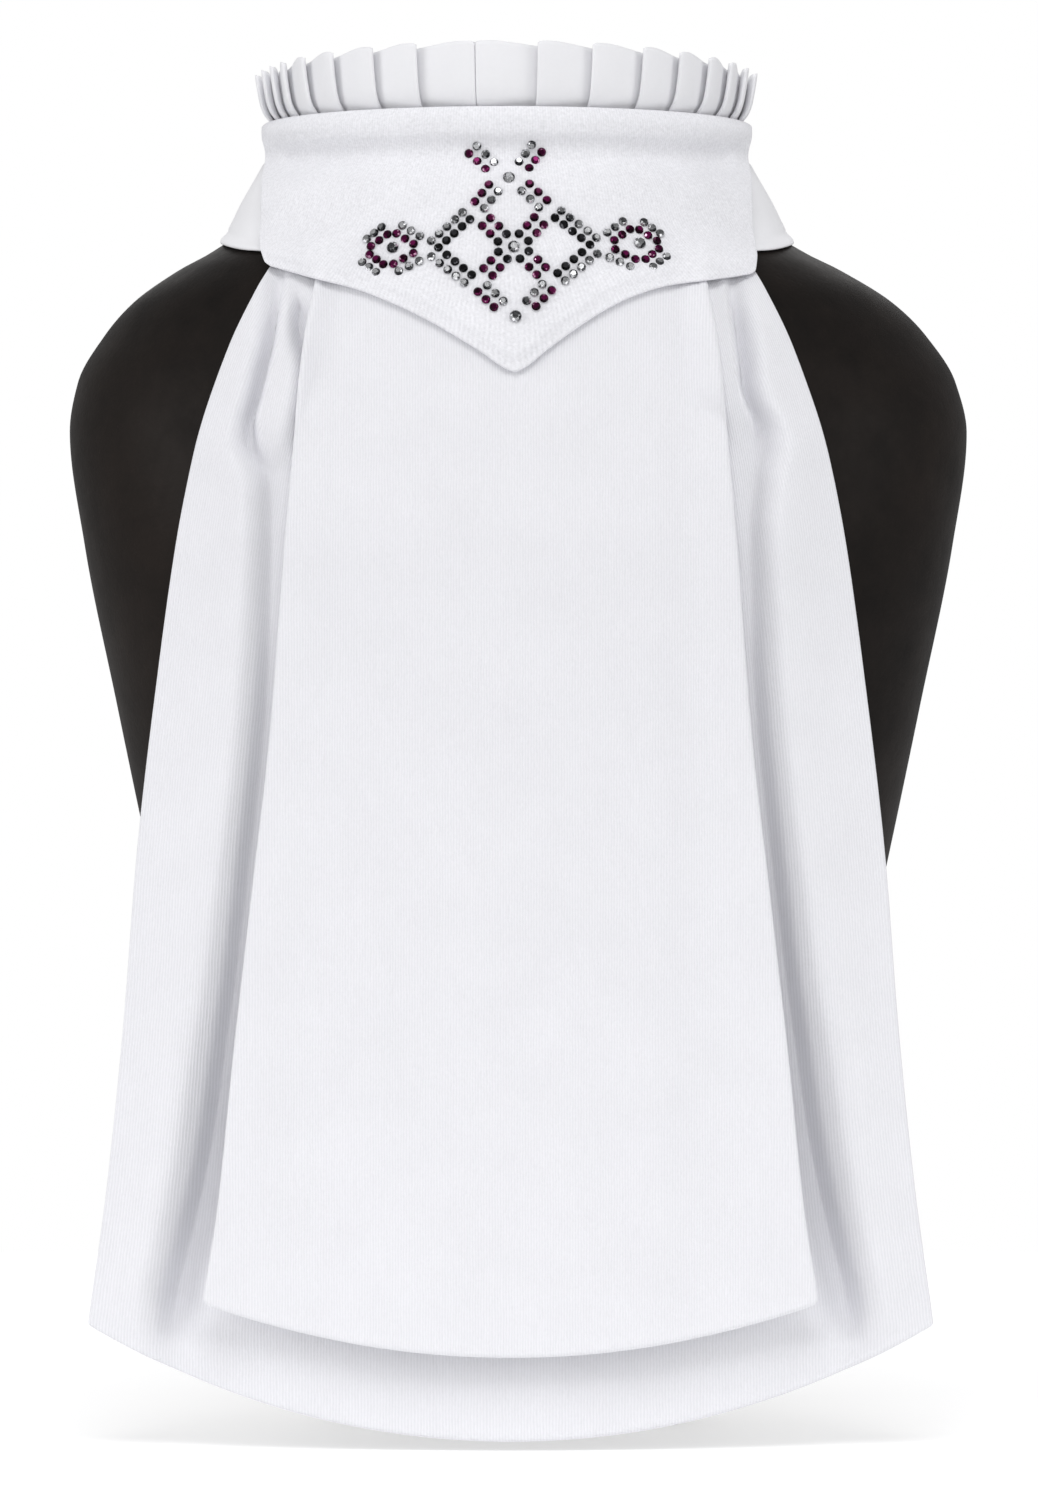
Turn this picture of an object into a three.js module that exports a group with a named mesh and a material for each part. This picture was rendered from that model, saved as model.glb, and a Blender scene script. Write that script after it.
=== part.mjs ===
// A stock tie on a neck bust: a padded collar that ends in a point, a frill of knife pleats above it,
// two bibs that hang in front, and two neck bands that meet at the back.
// Millimetres, +Z up. The front faces -Y, z = 0 is the surface that the bust stands on, and the
// neck's axis runs up near x = 0, y = 0. An angle round the neck is 0 at the front and grows to +X.

import * as THREE from 'three';

// Walls, and the clearance between pieces that lie on each other
const BIB_WALL = 1.6;
const BAND_WALL = 1.4;
const FRILL_WALL = 1.2;
const PATCH_WALL = 0.8;
const GAP = 0.4;
const BIB_CLEARANCE = 0.6;
const BAND_CLEARANCE = 0.9;

// The bust's sections, from the foot up: half width, reach to the front and to the back of the neck's
// axis, how square the section is (2 is an ellipse), and how far its middle stands to the side.
const BUST = [
  { z: 0, halfWidth: 43, front: 24, back: 52, square: 2.0, side: 2.0 },
  { z: 3, halfWidth: 46, front: 27, back: 55, square: 2.0, side: 2.0 },
  { z: 20, halfWidth: 57, front: 33, back: 59, square: 2.0, side: 2.0 },
  { z: 60, halfWidth: 75, front: 46, back: 64, square: 2.1, side: 2.0 },
  { z: 110, halfWidth: 89, front: 57, back: 67, square: 2.2, side: 2.0 },
  { z: 152, halfWidth: 98.2, front: 65, back: 69, square: 2.3, side: 2.0 },
  { z: 190, halfWidth: 106.1, front: 71, back: 70, square: 2.4, side: 2.0 },
  { z: 232, halfWidth: 114.6, front: 75.5, back: 69, square: 2.4, side: 2.0 },
  { z: 262, halfWidth: 118.5, front: 72.3, back: 65, square: 2.3, side: 1.9 },
  { z: 275, halfWidth: 116, front: 70, back: 62.5, square: 2.2, side: 1.5 },
  { z: 287.5, halfWidth: 108.5, front: 67.5, back: 61, square: 2.1, side: 1.1 },
  { z: 296, halfWidth: 100.5, front: 65.8, back: 60.5, square: 2.05, side: 0.5 },
  { z: 304.5, halfWidth: 87.7, front: 64, back: 60.5, square: 2.0, side: -0.4 },
  { z: 309, halfWidth: 79, front: 62.9, back: 60.5, square: 2.0, side: -0.8 },
  { z: 313, halfWidth: 73.2, front: 62, back: 60.5, square: 2.0, side: -1.1 },
  { z: 323.5, halfWidth: 67.3, front: 60, back: 59.5, square: 2.0, side: -1.1 },
  { z: 333, halfWidth: 61.9, front: 58.4, back: 58.4, square: 2.0, side: -1.1 },
  { z: 340, halfWidth: 58.5, front: 58, back: 58, square: 2.0, side: -1.1 },
  { z: 344, halfWidth: 58, front: 57.5, back: 57.5, square: 2.0, side: -1.1 },
  { z: 346, halfWidth: 55.5, front: 55, back: 55, square: 2.0, side: -1.1 },
];
const BUST_COLUMNS = 40;

// The collar: its edges as the front view shows them, and how far its faces stand off the neck.
const COLLAR_TOP = 343;
const COLLAR_HALF_WIDTH = 64.6;
const COLLAR_POINT_X = 1.1;
const COLLAR_CREASE = { front: 329, sides: 333 };
const COLLAR_LOWER_EDGE = [
  { reach: 0, z: 274 },
  { reach: 3, z: 275.4 },
  { reach: 8, z: 279.2 },
  { reach: 15, z: 284 },
  { reach: 22, z: 288.2 },
  { reach: 30, z: 292.4 },
  { reach: 40, z: 296.7 },
  { reach: 50, z: 299.9 },
  { reach: 58, z: 302 },
  { reach: 66, z: 305 },
];
const COLLAR_FACE = [
  { z: 274, offset: 8 },
  { z: 290, offset: 7.3 },
  { z: 305, offset: 7.1 },
  { z: 320, offset: 6.9 },
  { z: 329, offset: 5.8 },
  { z: 333, offset: 6 },
  { z: 336.5, offset: 7.1 },
  { z: 340, offset: 7.3 },
  { z: 343, offset: 6 },
];
const COLLAR_LINING = { overBibs: 5, overBands: 2.8, overFrill: 3.5 };
const COLLAR_RIM = { height: 3, thinner: 1.4 };
const COLLAR_WIDEST_ANGLE = 86;

// The bibs: half widths down their length, and the round hems.
const HEM_RADIUS = 215.5;
const UNDER_BIB = {
  hemBottom: 2.4,
  halfWidthTop: 60,
  halfWidthHem: 108,
  tuck: 6,
  outline: [
    { z: 31, halfWidth: 108 },
    { z: 68, halfWidth: 103 },
    { z: 109, halfWidth: 99 },
    { z: 150, halfWidth: 96 },
    { z: 198, halfWidth: 90.5 },
    { z: 231, halfWidth: 85.8 },
    { z: 255, halfWidth: 80.8 },
    { z: 281, halfWidth: 72.8 },
    { z: 295, halfWidth: 67.5 },
    { z: 304, halfWidth: 63.4 },
    { z: 307, halfWidth: 59.5 },
  ],
};
const FRONT_BIB = {
  hemBottom: 24.4,
  halfWidthTop: 49.5,
  halfWidthHem: 78,
  tuck: 7,
  outline: [
    { z: 39, halfWidth: 78 },
    { z: 61, halfWidth: 74.5 },
    { z: 102, halfWidth: 70.3 },
    { z: 142, halfWidth: 65.8 },
    { z: 183, halfWidth: 61.2 },
    { z: 224, halfWidth: 58 },
    { z: 265, halfWidth: 53.7 },
    { z: 285, halfWidth: 52 },
    { z: 303, halfWidth: 49.3 },
  ],
};

// Where the cloth leaves the chest it hangs: how far forward its middle is, and how far its edge
// falls back at 100 mm from the middle.
const HANG = [
  { z: 0, forward: 80, fallBack: 13 },
  { z: 60, forward: 79, fallBack: 15 },
  { z: 150, forward: 77, fallBack: 20 },
  { z: 232, forward: 75.3, fallBack: 26 },
  { z: 246, forward: 70, fallBack: 27 },
  { z: 262, forward: 55, fallBack: 28 },
  { z: 300, forward: 0, fallBack: 28 },
];
const HANG_BLEND = 3;

// The tuck on each side of the under bib, under the collar: the ridge's place and height.
const TUCK = [
  { z: 246, x: 67, height: 0 },
  { z: 258, x: 65, height: 1.6 },
  { z: 275, x: 61.5, height: 3 },
  { z: 290, x: 59.5, height: 3 },
  { z: 300, x: 57.5, height: 1.6 },
  { z: 306, x: 56.5, height: 0 },
];
const TUCK_WIDTH = 3.4;

// Low down, the under bib's sides bow forward beside the front bib, which stands off it.
const SIDE_BOW = { from: 175, to: 40, height: 4, clear: 4, width: 14 };
const HOVER = { from: 272, to: 24, middle: 5, sides: 2.5 };

// The frill: pleats that get narrower towards the ends by the same ratio, mirrored at one slit.
const FRILL = {
  foot: 337,
  base: 344.8,
  topFront: 359.7,
  topSides: 354.8,
  footOffset: 1.8,
  baseOffset: 5.2,
  topOffset: 6.7,
  baseDepth: 3.2,
  topDepth: 4,
  slitAngle: -6.9,
  firstPleat: 13.8,
  nextPleat: 12.8,
  ratio: 0.9,
  pleatsPerSide: 9,
  returnAngle: 1.6,
  lastAngle: 87,
};

// The neck bands: heights at their front ends, at the sides and at the back, and where they lap.
const BAND = [
  { angle: 40, low: 306.4, high: 333 },
  { angle: 90, low: 310.2, high: 333.2 },
  { angle: 135, low: 311, high: 334 },
  { angle: 200, low: 311, high: 334 },
];
const BAND_TUCK_ANGLE = 4;
const BAND_END_ANGLE = 196;
const LAP_EASE = 0.25;
const BAND_LIFT_ANGLES = { start: 148, end: 164 };
const PATCH = { halfAngle: 11, low: 315, high: 330 };

// The larger set stones, on the collar's face in the front view.
const STONE = { radius: 1.55, girdle: 0.3, table: 0.85, height: 1.05, sides: 12 };
const STONES = [
  { name: 'stone_top', x: -0.5, z: 324.4 },
  { name: 'stone_centre', x: 0.8, z: 306.4 },
  { name: 'stone_point', x: 1.2, z: 288.4 },
  { name: 'stone_ring_left', x: -30.1, z: 306.4 },
  { name: 'stone_ring_right', x: 32.9, z: 307.6 },
];

const DEGREE = Math.PI / 180;

function lerp(a, b, t) {
  return a + (b - a) * t;
}

function smoothStep(from, to, x) {
  const t = THREE.MathUtils.clamp((x - from) / (to - from), 0, 1);
  return t * t * (3 - 2 * t);
}

function smoothMax(a, b, blend) {
  return (a + b + Math.hypot(a - b, blend)) / 2;
}

function range(count) {
  return Array.from({ length: count }, (_, i) => i);
}

// A smooth curve through one column of a table, which never overshoots its rows.
function curve(table, key, column) {
  const xs = table.map((row) => row[key]);
  const ys = table.map((row) => row[column]);
  const last = xs.length - 1;
  const rises = range(last).map((i) => (ys[i + 1] - ys[i]) / (xs[i + 1] - xs[i]));
  const slopes = xs.map((_, i) => {
    if (i === 0) return rises[0];
    if (i === last) return rises[last - 1];
    const product = rises[i - 1] * rises[i];
    return product > 0 ? (2 * product) / (rises[i - 1] + rises[i]) : 0;
  });
  return (value) => {
    const x = THREE.MathUtils.clamp(value, xs[0], xs[last]);
    const above = xs.findIndex((edge, i) => i > 0 && x <= edge);
    const i = above - 1;
    const width = xs[i + 1] - xs[i];
    const t = (x - xs[i]) / width;
    const bend = slopes[i] * (1 - t) - slopes[i + 1] * t;
    const straight = lerp(ys[i], ys[i + 1], t);
    return straight + t * (1 - t) * (bend * width - (ys[i + 1] - ys[i]) * (1 - 2 * t));
  };
}

// The value of x, between low and high, where a rising function reaches a target.
function solve(risingFunction, target, low, high) {
  let [below, above] = [low, high];
  for (let step = 0; step < 40; step += 1) {
    const middle = (below + above) / 2;
    if (risingFunction(middle) < target) below = middle;
    else above = middle;
  }
  return (below + above) / 2;
}

const bust = {
  halfWidth: curve(BUST, 'z', 'halfWidth'),
  front: curve(BUST, 'z', 'front'),
  back: curve(BUST, 'z', 'back'),
  square: curve(BUST, 'z', 'square'),
  side: curve(BUST, 'z', 'side'),
};

// The point of the bust's section at a height and an angle, pushed straight out by an offset.
function neckPoint(z, angle, offset = 0) {
  const power = 2 / bust.square(z);
  const [sine, cosine] = [Math.sin(angle * DEGREE), Math.cos(angle * DEGREE)];
  const width = bust.halfWidth(z);
  const depth = cosine > 0 ? bust.front(z) : bust.back(z);
  const across = Math.sign(sine) * Math.abs(sine) ** power;
  const along = Math.sign(cosine) * Math.abs(cosine) ** power;
  const normal = new THREE.Vector2(
    (Math.sign(sine) * Math.abs(sine) ** (2 - power)) / width,
    (-Math.sign(cosine) * Math.abs(cosine) ** (2 - power)) / depth,
  ).normalize();
  return new THREE.Vector3(
    bust.side(z) + width * across + normal.x * offset,
    -depth * along + normal.y * offset,
    z,
  );
}

// How far forward the bust's front is at a place of the front view.
function bustDepth(x, z) {
  const reach = Math.min(Math.abs(x - bust.side(z)) / bust.halfWidth(z), 1);
  const square = bust.square(z);
  return bust.front(z) * (1 - reach ** square) ** (1 / square);
}

// A mesh from shared points and triangles, turned so that its faces point out.
function closedGeometry(points, triangles) {
  let volume = 0;
  for (const [a, b, c] of triangles) {
    volume += points[a].dot(points[b].clone().cross(points[c]));
  }
  const index = triangles.flatMap(([a, b, c]) => (volume > 0 ? [a, b, c] : [a, c, b]));
  const geometry = new THREE.BufferGeometry();
  geometry.setFromPoints(points);
  geometry.setIndex(index);
  geometry.computeVertexNormals();
  return geometry;
}

// The closed wall between an outer and an inner grid of points, rows by columns.
function wallGeometry(outer, inner) {
  const rows = outer.length;
  const columns = outer[0].length;
  const points = [...outer.flat(), ...inner.flat()];
  const at = (face, row, column) => (face * rows + row) * columns + column;
  const triangles = [];
  const quad = (a, b, c, d) => triangles.push([a, b, c], [a, c, d]);
  for (let row = 0; row < rows - 1; row += 1) {
    for (let column = 0; column < columns - 1; column += 1) {
      const [down, right] = [row + 1, column + 1];
      quad(at(0, row, column), at(0, row, right), at(0, down, right), at(0, down, column));
      quad(at(1, row, column), at(1, down, column), at(1, down, right), at(1, row, right));
    }
    for (const [column, order] of [[0, 1], [columns - 1, -1]]) {
      const rim = [at(0, row, column), at(0, row + 1, column), at(1, row + 1, column), at(1, row, column)];
      quad(...(order > 0 ? rim : rim.reverse()));
    }
  }
  for (let column = 0; column < columns - 1; column += 1) {
    for (const [row, order] of [[0, -1], [rows - 1, 1]]) {
      const rim = [at(0, row, column), at(0, row, column + 1), at(1, row, column + 1), at(1, row, column)];
      quad(...(order > 0 ? rim : rim.reverse()));
    }
  }
  return closedGeometry(points, triangles);
}

function bustGeometry() {
  const heights = BUST.flatMap(({ z }, i) => {
    const next = BUST[i + 1];
    return next && next.z - z > 25 ? [z, (z + next.z) / 2] : [z];
  });
  const rings = heights.map((z) => (
    range(BUST_COLUMNS).map((i) => neckPoint(z, (i * 360) / BUST_COLUMNS))
  ));
  const points = rings.flat();
  const triangles = [];
  for (let ring = 0; ring < rings.length - 1; ring += 1) {
    for (let i = 0; i < BUST_COLUMNS; i += 1) {
      const next = (i + 1) % BUST_COLUMNS;
      const [a, b] = [ring * BUST_COLUMNS + i, ring * BUST_COLUMNS + next];
      const [c, d] = [b + BUST_COLUMNS, a + BUST_COLUMNS];
      triangles.push([a, b, c], [a, c, d]);
    }
  }
  const top = (rings.length - 1) * BUST_COLUMNS;
  for (let i = 1; i < BUST_COLUMNS - 1; i += 1) {
    triangles.push([0, i + 1, i], [top, top + i, top + i + 1]);
  }
  return closedGeometry(points, triangles);
}

const collarLowerEdge = curve(COLLAR_LOWER_EDGE, 'reach', 'z');
const collarFace = curve(COLLAR_FACE, 'z', 'offset');

// The angle at which the collar's side edge stands at a height.
function collarEdgeAngle(z) {
  const across = (angle) => neckPoint(z, angle, collarFace(z)).x - bust.side(z);
  return solve(across, COLLAR_HALF_WIDTH, 0, COLLAR_WIDEST_ANGLE);
}

// The height of the collar's lower edge on a column, from -1 at one side to 1 at the other.
function collarColumnFoot(column) {
  let z = COLLAR_LOWER_EDGE[0].z;
  for (let step = 0; step < 20; step += 1) {
    const { x } = neckPoint(z, column * collarEdgeAngle(z), collarFace(z));
    z = collarLowerEdge(Math.abs(x - COLLAR_POINT_X));
  }
  return z;
}

// How far the collar's lining stands off the neck: over the bibs low down, over the bands' ends
// above them, and over the frill's foot at the top.
function collarLining(z, foot) {
  const low = lerp(COLLAR_LINING.overBibs, COLLAR_LINING.overBands, smoothStep(9, 14, z - foot));
  return lerp(low, COLLAR_LINING.overFrill, smoothStep(333, 336, z));
}

function collarGeometry() {
  const columns = range(33).map((i) => lerp(-1, 1, i / 32));
  const below = [0, 0.06, 0.2, 0.45, 0.7, 1];
  const above = [0.3, 0.55, 0.8, 1];
  const grid = (isOuter) => columns.map((column) => {
    const foot = collarColumnFoot(column);
    const crease = lerp(COLLAR_CREASE.front, COLLAR_CREASE.sides, column * column);
    const heights = [
      ...below.map((t) => lerp(foot, crease, t)),
      ...above.map((t) => lerp(crease, COLLAR_TOP, t)),
    ];
    return heights.map((z) => {
      const rim = COLLAR_RIM.thinner * (1 - smoothStep(0, COLLAR_RIM.height, z - foot));
      const offset = isOuter ? collarFace(z) - rim : collarLining(z, foot);
      return neckPoint(z, column * collarEdgeAngle(z), offset);
    });
  });
  return wallGeometry(grid(true), grid(false));
}

const hangForward = curve(HANG, 'z', 'forward');
const hangFallBack = curve(HANG, 'z', 'fallBack');
const tuckPlace = curve(TUCK, 'z', 'x');
const tuckHeight = curve(TUCK, 'z', 'height');
const frontHalfWidth = curve(FRONT_BIB.outline, 'z', 'halfWidth');

// How far forward a cloth lies that drapes over the chest and hangs from it.
function drapeDepth(x, z) {
  const hanging = hangForward(z) - hangFallBack(z) * (x / 100) ** 2;
  return smoothMax(bustDepth(x, z), hanging, HANG_BLEND);
}

function underBibDepth(x, z) {
  const side = Math.abs(x);
  const beside = side - frontHalfWidth(z);
  const tuck = tuckHeight(z)
    * Math.exp(-(((side - tuckPlace(z)) / TUCK_WIDTH) ** 2))
    * smoothStep(2.5, 6, beside);
  const bow = SIDE_BOW.height
    * smoothStep(SIDE_BOW.from, SIDE_BOW.to, z)
    * smoothStep(SIDE_BOW.clear, SIDE_BOW.clear + SIDE_BOW.width, beside);
  return drapeDepth(x, z) + GAP + BIB_WALL + tuck + bow;
}

function frontBibDepth(x, z) {
  const sides = HOVER.sides * (x / FRONT_BIB.halfWidthHem) ** 2;
  const hover = (HOVER.middle + sides) * smoothStep(HOVER.from, HOVER.to, z);
  return drapeDepth(x, z) + GAP + BIB_WALL + BIB_CLEARANCE + BIB_WALL + hover;
}

// One bib: a wall between its tucked upper edge and its round hem. Columns are closer at the sides,
// where the folds are, and rows are closer at the top.
function bibGeometry(bib, depth, columnCount, rowCount) {
  const halfWidth = curve(bib.outline, 'z', 'halfWidth');
  const columns = range(columnCount + 1).map((i) => {
    const t = lerp(-1, 1, i / columnCount);
    return Math.sign(t) * (1 - (1 - Math.abs(t)) ** 1.25);
  });
  const rows = range(rowCount + 1).map((i) => (i / rowCount) ** 1.25);
  const grid = (isOuter) => rows.map((down) => columns.map((across) => {
    const topX = across * bib.halfWidthTop;
    const tuck = bib.tuck * (1 - smoothStep(48, bib.halfWidthTop, Math.abs(topX)));
    const top = collarLowerEdge(Math.abs(topX - COLLAR_POINT_X)) + tuck + 1;
    const hemX = across * bib.halfWidthHem;
    const hem = bib.hemBottom + HEM_RADIUS - Math.sqrt(HEM_RADIUS ** 2 - hemX ** 2);
    const z = lerp(top, hem, down);
    const x = across * halfWidth(z);
    return new THREE.Vector3(x, -depth(x, z) + (isOuter ? 0 : BIB_WALL), z);
  }));
  return wallGeometry(grid(true), grid(false));
}

// The pleats' boundaries, in degrees, from one end of the frill to the other.
function pleatAngles() {
  const steps = range(FRILL.pleatsPerSide - 1).map((i) => FRILL.nextPleat * FRILL.ratio ** i);
  const right = [FRILL.slitAngle + FRILL.firstPleat];
  const left = [FRILL.slitAngle];
  for (const step of steps) {
    right.push(right.at(-1) + step);
    left.unshift(left[0] - step);
  }
  return { left: [-FRILL.lastAngle, ...left], right: [FRILL.slitAngle, ...right, FRILL.lastAngle] };
}

// The frill's stations: an angle, and how far out the cloth stands there, from 0 in a fold's depth
// to 1 on its outer edge.
function frillStations() {
  const { left, right } = pleatAngles();
  const half = (angles) => angles.slice(0, -1).flatMap((start, i) => {
    const width = angles[i + 1] - start;
    return [
      { angle: start + FRILL.returnAngle * 0.5, out: 1 },
      { angle: start + width * 0.5, out: 0.55 },
      { angle: start + width - FRILL.returnAngle * 0.5, out: 0 },
    ];
  });
  const mirrored = half(left.map((angle) => -angle).reverse())
    .map(({ angle, out }) => ({ angle: -angle, out }))
    .reverse();
  return [...mirrored, ...half(right)];
}

function frillGeometry() {
  const stations = frillStations();
  const topAt = (angle) => lerp(FRILL.topSides, FRILL.topFront, Math.cos(angle * DEGREE));
  const rows = [
    { z: () => FRILL.foot, offset: FRILL.footOffset, depth: 0 },
    { z: () => FRILL.base - 1.6, offset: FRILL.footOffset + 0.3, depth: 0 },
    { z: () => FRILL.base, offset: FRILL.baseOffset, depth: FRILL.baseDepth },
    { z: topAt, offset: FRILL.topOffset, depth: FRILL.topDepth },
  ];
  const grid = (inward) => rows.map(({ z, offset, depth }) => stations.map(({ angle, out }) => {
    const height = z(angle);
    const standing = offset + depth * (out - 0.5) - inward;
    const point = neckPoint(Math.min(height, 340), angle, standing);
    return point.setZ(height);
  }));
  return wallGeometry(grid(0), grid(FRILL_WALL));
}

// A band from behind the collar's end round to the back. The upper band lifts over the lower one's
// end and the patch between them.
function bandGeometry(side, lift) {
  const low = curve(BAND, 'angle', 'low');
  const high = curve(BAND, 'angle', 'high');
  const columns = range(27).map((i) => i / 26);
  const rows = [0, 0.35, 0.7, 1];
  const grid = (face) => rows.map((up) => columns.map((along) => {
    const rough = lerp(50, BAND_END_ANGLE, along);
    const z = lerp(low(rough), high(rough), up);
    const angle = lerp(collarEdgeAngle(z) - BAND_TUCK_ANGLE, BAND_END_ANGLE, along);
    const lifted = lift * smoothStep(BAND_LIFT_ANGLES.start, BAND_LIFT_ANGLES.end, angle);
    return neckPoint(z, side * angle, BAND_CLEARANCE + face + lifted);
  }));
  return wallGeometry(grid(BAND_WALL), grid(0));
}

function patchGeometry() {
  const columns = range(7).map((i) => 180 + lerp(-1, 1, i / 6) * PATCH.halfAngle);
  const base = BAND_CLEARANCE + BAND_WALL + GAP;
  const grid = (face) => [PATCH.low, PATCH.high].map((z) => (
    columns.map((angle) => neckPoint(z, angle, base + face))
  ));
  return wallGeometry(grid(PATCH_WALL), grid(0));
}

function stoneGeometry() {
  const profile = [
    new THREE.Vector2(0, 0),
    new THREE.Vector2(STONE.radius, 0),
    new THREE.Vector2(STONE.radius, STONE.girdle),
    new THREE.Vector2(STONE.table, STONE.height),
    new THREE.Vector2(0, STONE.height),
  ];
  return new THREE.LatheGeometry(profile, STONE.sides);
}

// Stands a stone on the collar's face with a hair of clearance, square to the surface.
function placeStone(mesh, x, z) {
  const faceAt = (height, reach) => {
    const across = (angle) => neckPoint(height, angle, collarFace(height)).x;
    const angle = solve(across, reach, -COLLAR_WIDEST_ANGLE, COLLAR_WIDEST_ANGLE);
    return neckPoint(height, angle, collarFace(height));
  };
  const right = faceAt(z, x + 1).sub(faceAt(z, x - 1));
  const up = faceAt(z + 1, x).sub(faceAt(z - 1, x));
  const normal = right.cross(up).normalize();
  mesh.quaternion.setFromUnitVectors(new THREE.Vector3(0, 1, 0), normal);
  mesh.position.copy(faceAt(z, x)).addScaledVector(normal, GAP / 2);
}

const knit = new THREE.MeshStandardMaterial({ color: 0xe9e9ef, roughness: 0.85 });
const smoothCloth = new THREE.MeshStandardMaterial({ color: 0xf2f2f4, roughness: 0.7 });
const hookTape = new THREE.MeshStandardMaterial({ color: 0xe4e4e6, roughness: 0.9 });
const bustShell = new THREE.MeshStandardMaterial({ color: 0x262322, roughness: 0.6 });
const crystal = new THREE.MeshStandardMaterial({ color: 0xc8c9d0, roughness: 0.1, metalness: 0.4 });

const stockTie = new THREE.Group();

function addPiece(name, geometry, material) {
  const mesh = new THREE.Mesh(geometry, material);
  mesh.name = name;
  stockTie.add(mesh);
  return mesh;
}

addPiece('neck_bust', bustGeometry(), bustShell);
addPiece('under_bib', bibGeometry(UNDER_BIB, underBibDepth, 32, 20), knit);
addPiece('front_bib', bibGeometry(FRONT_BIB, frontBibDepth, 18, 18), knit);
addPiece('neck_band_right', bandGeometry(1, 0), smoothCloth);
addPiece('fastening_patch', patchGeometry(), hookTape);
addPiece('neck_band_left', bandGeometry(-1, BAND_WALL + PATCH_WALL + 2 * GAP + LAP_EASE), smoothCloth);
addPiece('collar', collarGeometry(), knit);
addPiece('frill', frillGeometry(), smoothCloth);
for (const { name, x, z } of STONES) {
  placeStone(addPiece(name, stoneGeometry(), crystal), x, z);
}

export default stockTie;
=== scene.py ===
"""A white stock tie on a dark neck bust.

The tie is a padded collar with set stones, a frill of knife pleats above it, two hanging bibs and
two neck bands. Tables are in millimetres and meshes in metres. +Z is up and the front faces -Y.
An angle round the neck is 0 at the front and grows to +X.
"""

import math

import bpy
import numpy as np
from bpy.props import FloatProperty, FloatVectorProperty, PointerProperty
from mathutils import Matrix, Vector


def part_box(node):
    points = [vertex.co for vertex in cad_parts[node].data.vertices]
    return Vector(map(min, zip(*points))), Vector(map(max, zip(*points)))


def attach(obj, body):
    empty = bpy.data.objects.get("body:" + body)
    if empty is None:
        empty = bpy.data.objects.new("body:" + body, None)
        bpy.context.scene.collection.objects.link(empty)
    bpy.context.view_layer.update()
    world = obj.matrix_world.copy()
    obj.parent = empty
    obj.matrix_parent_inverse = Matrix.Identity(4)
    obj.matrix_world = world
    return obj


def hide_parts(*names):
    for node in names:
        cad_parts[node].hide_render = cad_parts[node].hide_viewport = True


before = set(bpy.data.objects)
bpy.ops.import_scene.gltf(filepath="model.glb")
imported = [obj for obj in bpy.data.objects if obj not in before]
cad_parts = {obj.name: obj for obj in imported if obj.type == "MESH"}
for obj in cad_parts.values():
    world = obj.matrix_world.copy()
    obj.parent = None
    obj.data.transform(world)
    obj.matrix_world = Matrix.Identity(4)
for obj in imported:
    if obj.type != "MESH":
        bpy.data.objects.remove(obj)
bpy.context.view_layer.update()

bl_info = {
    "name": "Stock Tie",
    "version": (1, 0, 0),
    "blender": (4, 5, 0),
    "location": "3D View > Sidebar > Stock Tie",
    "description": "Makes a ready-tied stock tie on its neck bust, piece by piece",
    "category": "Add Mesh",
}

MM = 0.001
FULL_TURN = 2 * math.pi


def table(columns, *rows):
    """A small table as one array for each named column."""
    names = columns.split()
    return {name: np.array([row[i] for row in rows], float) for i, name in enumerate(names)}


# The bust's sections from the foot up: half width, reach to the front and to the back of the neck's
# axis, how square the section is (2 is an ellipse), and how far its middle stands to the side.
BUST = table(
    "z half_width front back square side",
    (0, 43, 24, 52, 2, 2),
    (3, 46, 27, 55, 2, 2),
    (20, 57, 33, 59, 2, 2),
    (60, 75, 46, 64, 2.1, 2),
    (110, 89, 57, 67, 2.2, 2),
    (152, 98.2, 65, 69, 2.3, 2),
    (190, 106.1, 71, 70, 2.4, 2),
    (232, 114.6, 75.5, 69, 2.4, 2),
    (262, 118.5, 72.3, 65, 2.3, 1.9),
    (275, 116, 70, 62.5, 2.2, 1.5),
    (287.5, 108.5, 67.5, 61, 2.1, 1.1),
    (296, 100.5, 65.8, 60.5, 2.05, 0.5),
    (304.5, 87.7, 64, 60.5, 2, -0.4),
    (309, 79, 62.9, 60.5, 2, -0.8),
    (313, 73.2, 62, 60.5, 2, -1.1),
    (323.5, 67.3, 60, 59.5, 2, -1.1),
    (333, 61.9, 58.4, 58.4, 2, -1.1),
    (340, 58.5, 58, 58, 2, -1.1),
    (344, 58, 57.5, 57.5, 2, -1.1),
    (346, 55.5, 55, 55, 2, -1.1),
)

# Where the neck stub's side ends, and the height of its rounded rim.
NECK_RIM = 343.4
NECK_RIM_ROUND = 2.6

# The collar: its lower edge by the reach from its point, how much lower or higher that edge hangs on
# each side, and how far its face stands off the neck.
COLLAR_TOP = 343
COLLAR_HALF_WIDTH = 64.3
COLLAR_POINT_X = 1.1
COLLAR_WIDEST_ANGLE = 86
COLLAR_EDGE = table(
    "reach z",
    (0, 274),
    (3, 275.4),
    (8, 279.2),
    (15, 284),
    (22, 288.4),
    (30, 292.5),
    (40, 296.2),
    (50, 298.4),
    (58, 300.3),
    (66, 302.6),
)
COLLAR_LEAN = table(
    "x lean",
    (-64, 0.6),
    (-50, 0),
    (-28, -1.2),
    (0, 0),
    (28, 1.2),
    (50, 0),
    (64, -1),
)
COLLAR_FACE = table(
    "z offset",
    (274, 8),
    (290, 7.3),
    (305, 7.1),
    (320, 6.9),
    (329, 5.8),
    (333, 6),
    (336.5, 7.1),
    (340, 7.3),
    (343, 6),
)
COLLAR_SWELLS = (
    # z, width and size of each swell of the collar's side edges
    (312, 5, 0.1),
    (339, 3.5, 0.2),
    (331, 5, 0.5),
)
# The crease under the collar's top roll: its height, depth and width.
CREASE = {"z_middle": 330.5, "z_side": 332.5, "depth_middle": 1.8, "depth_side": 3.4, "width": 4.3}
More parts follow.
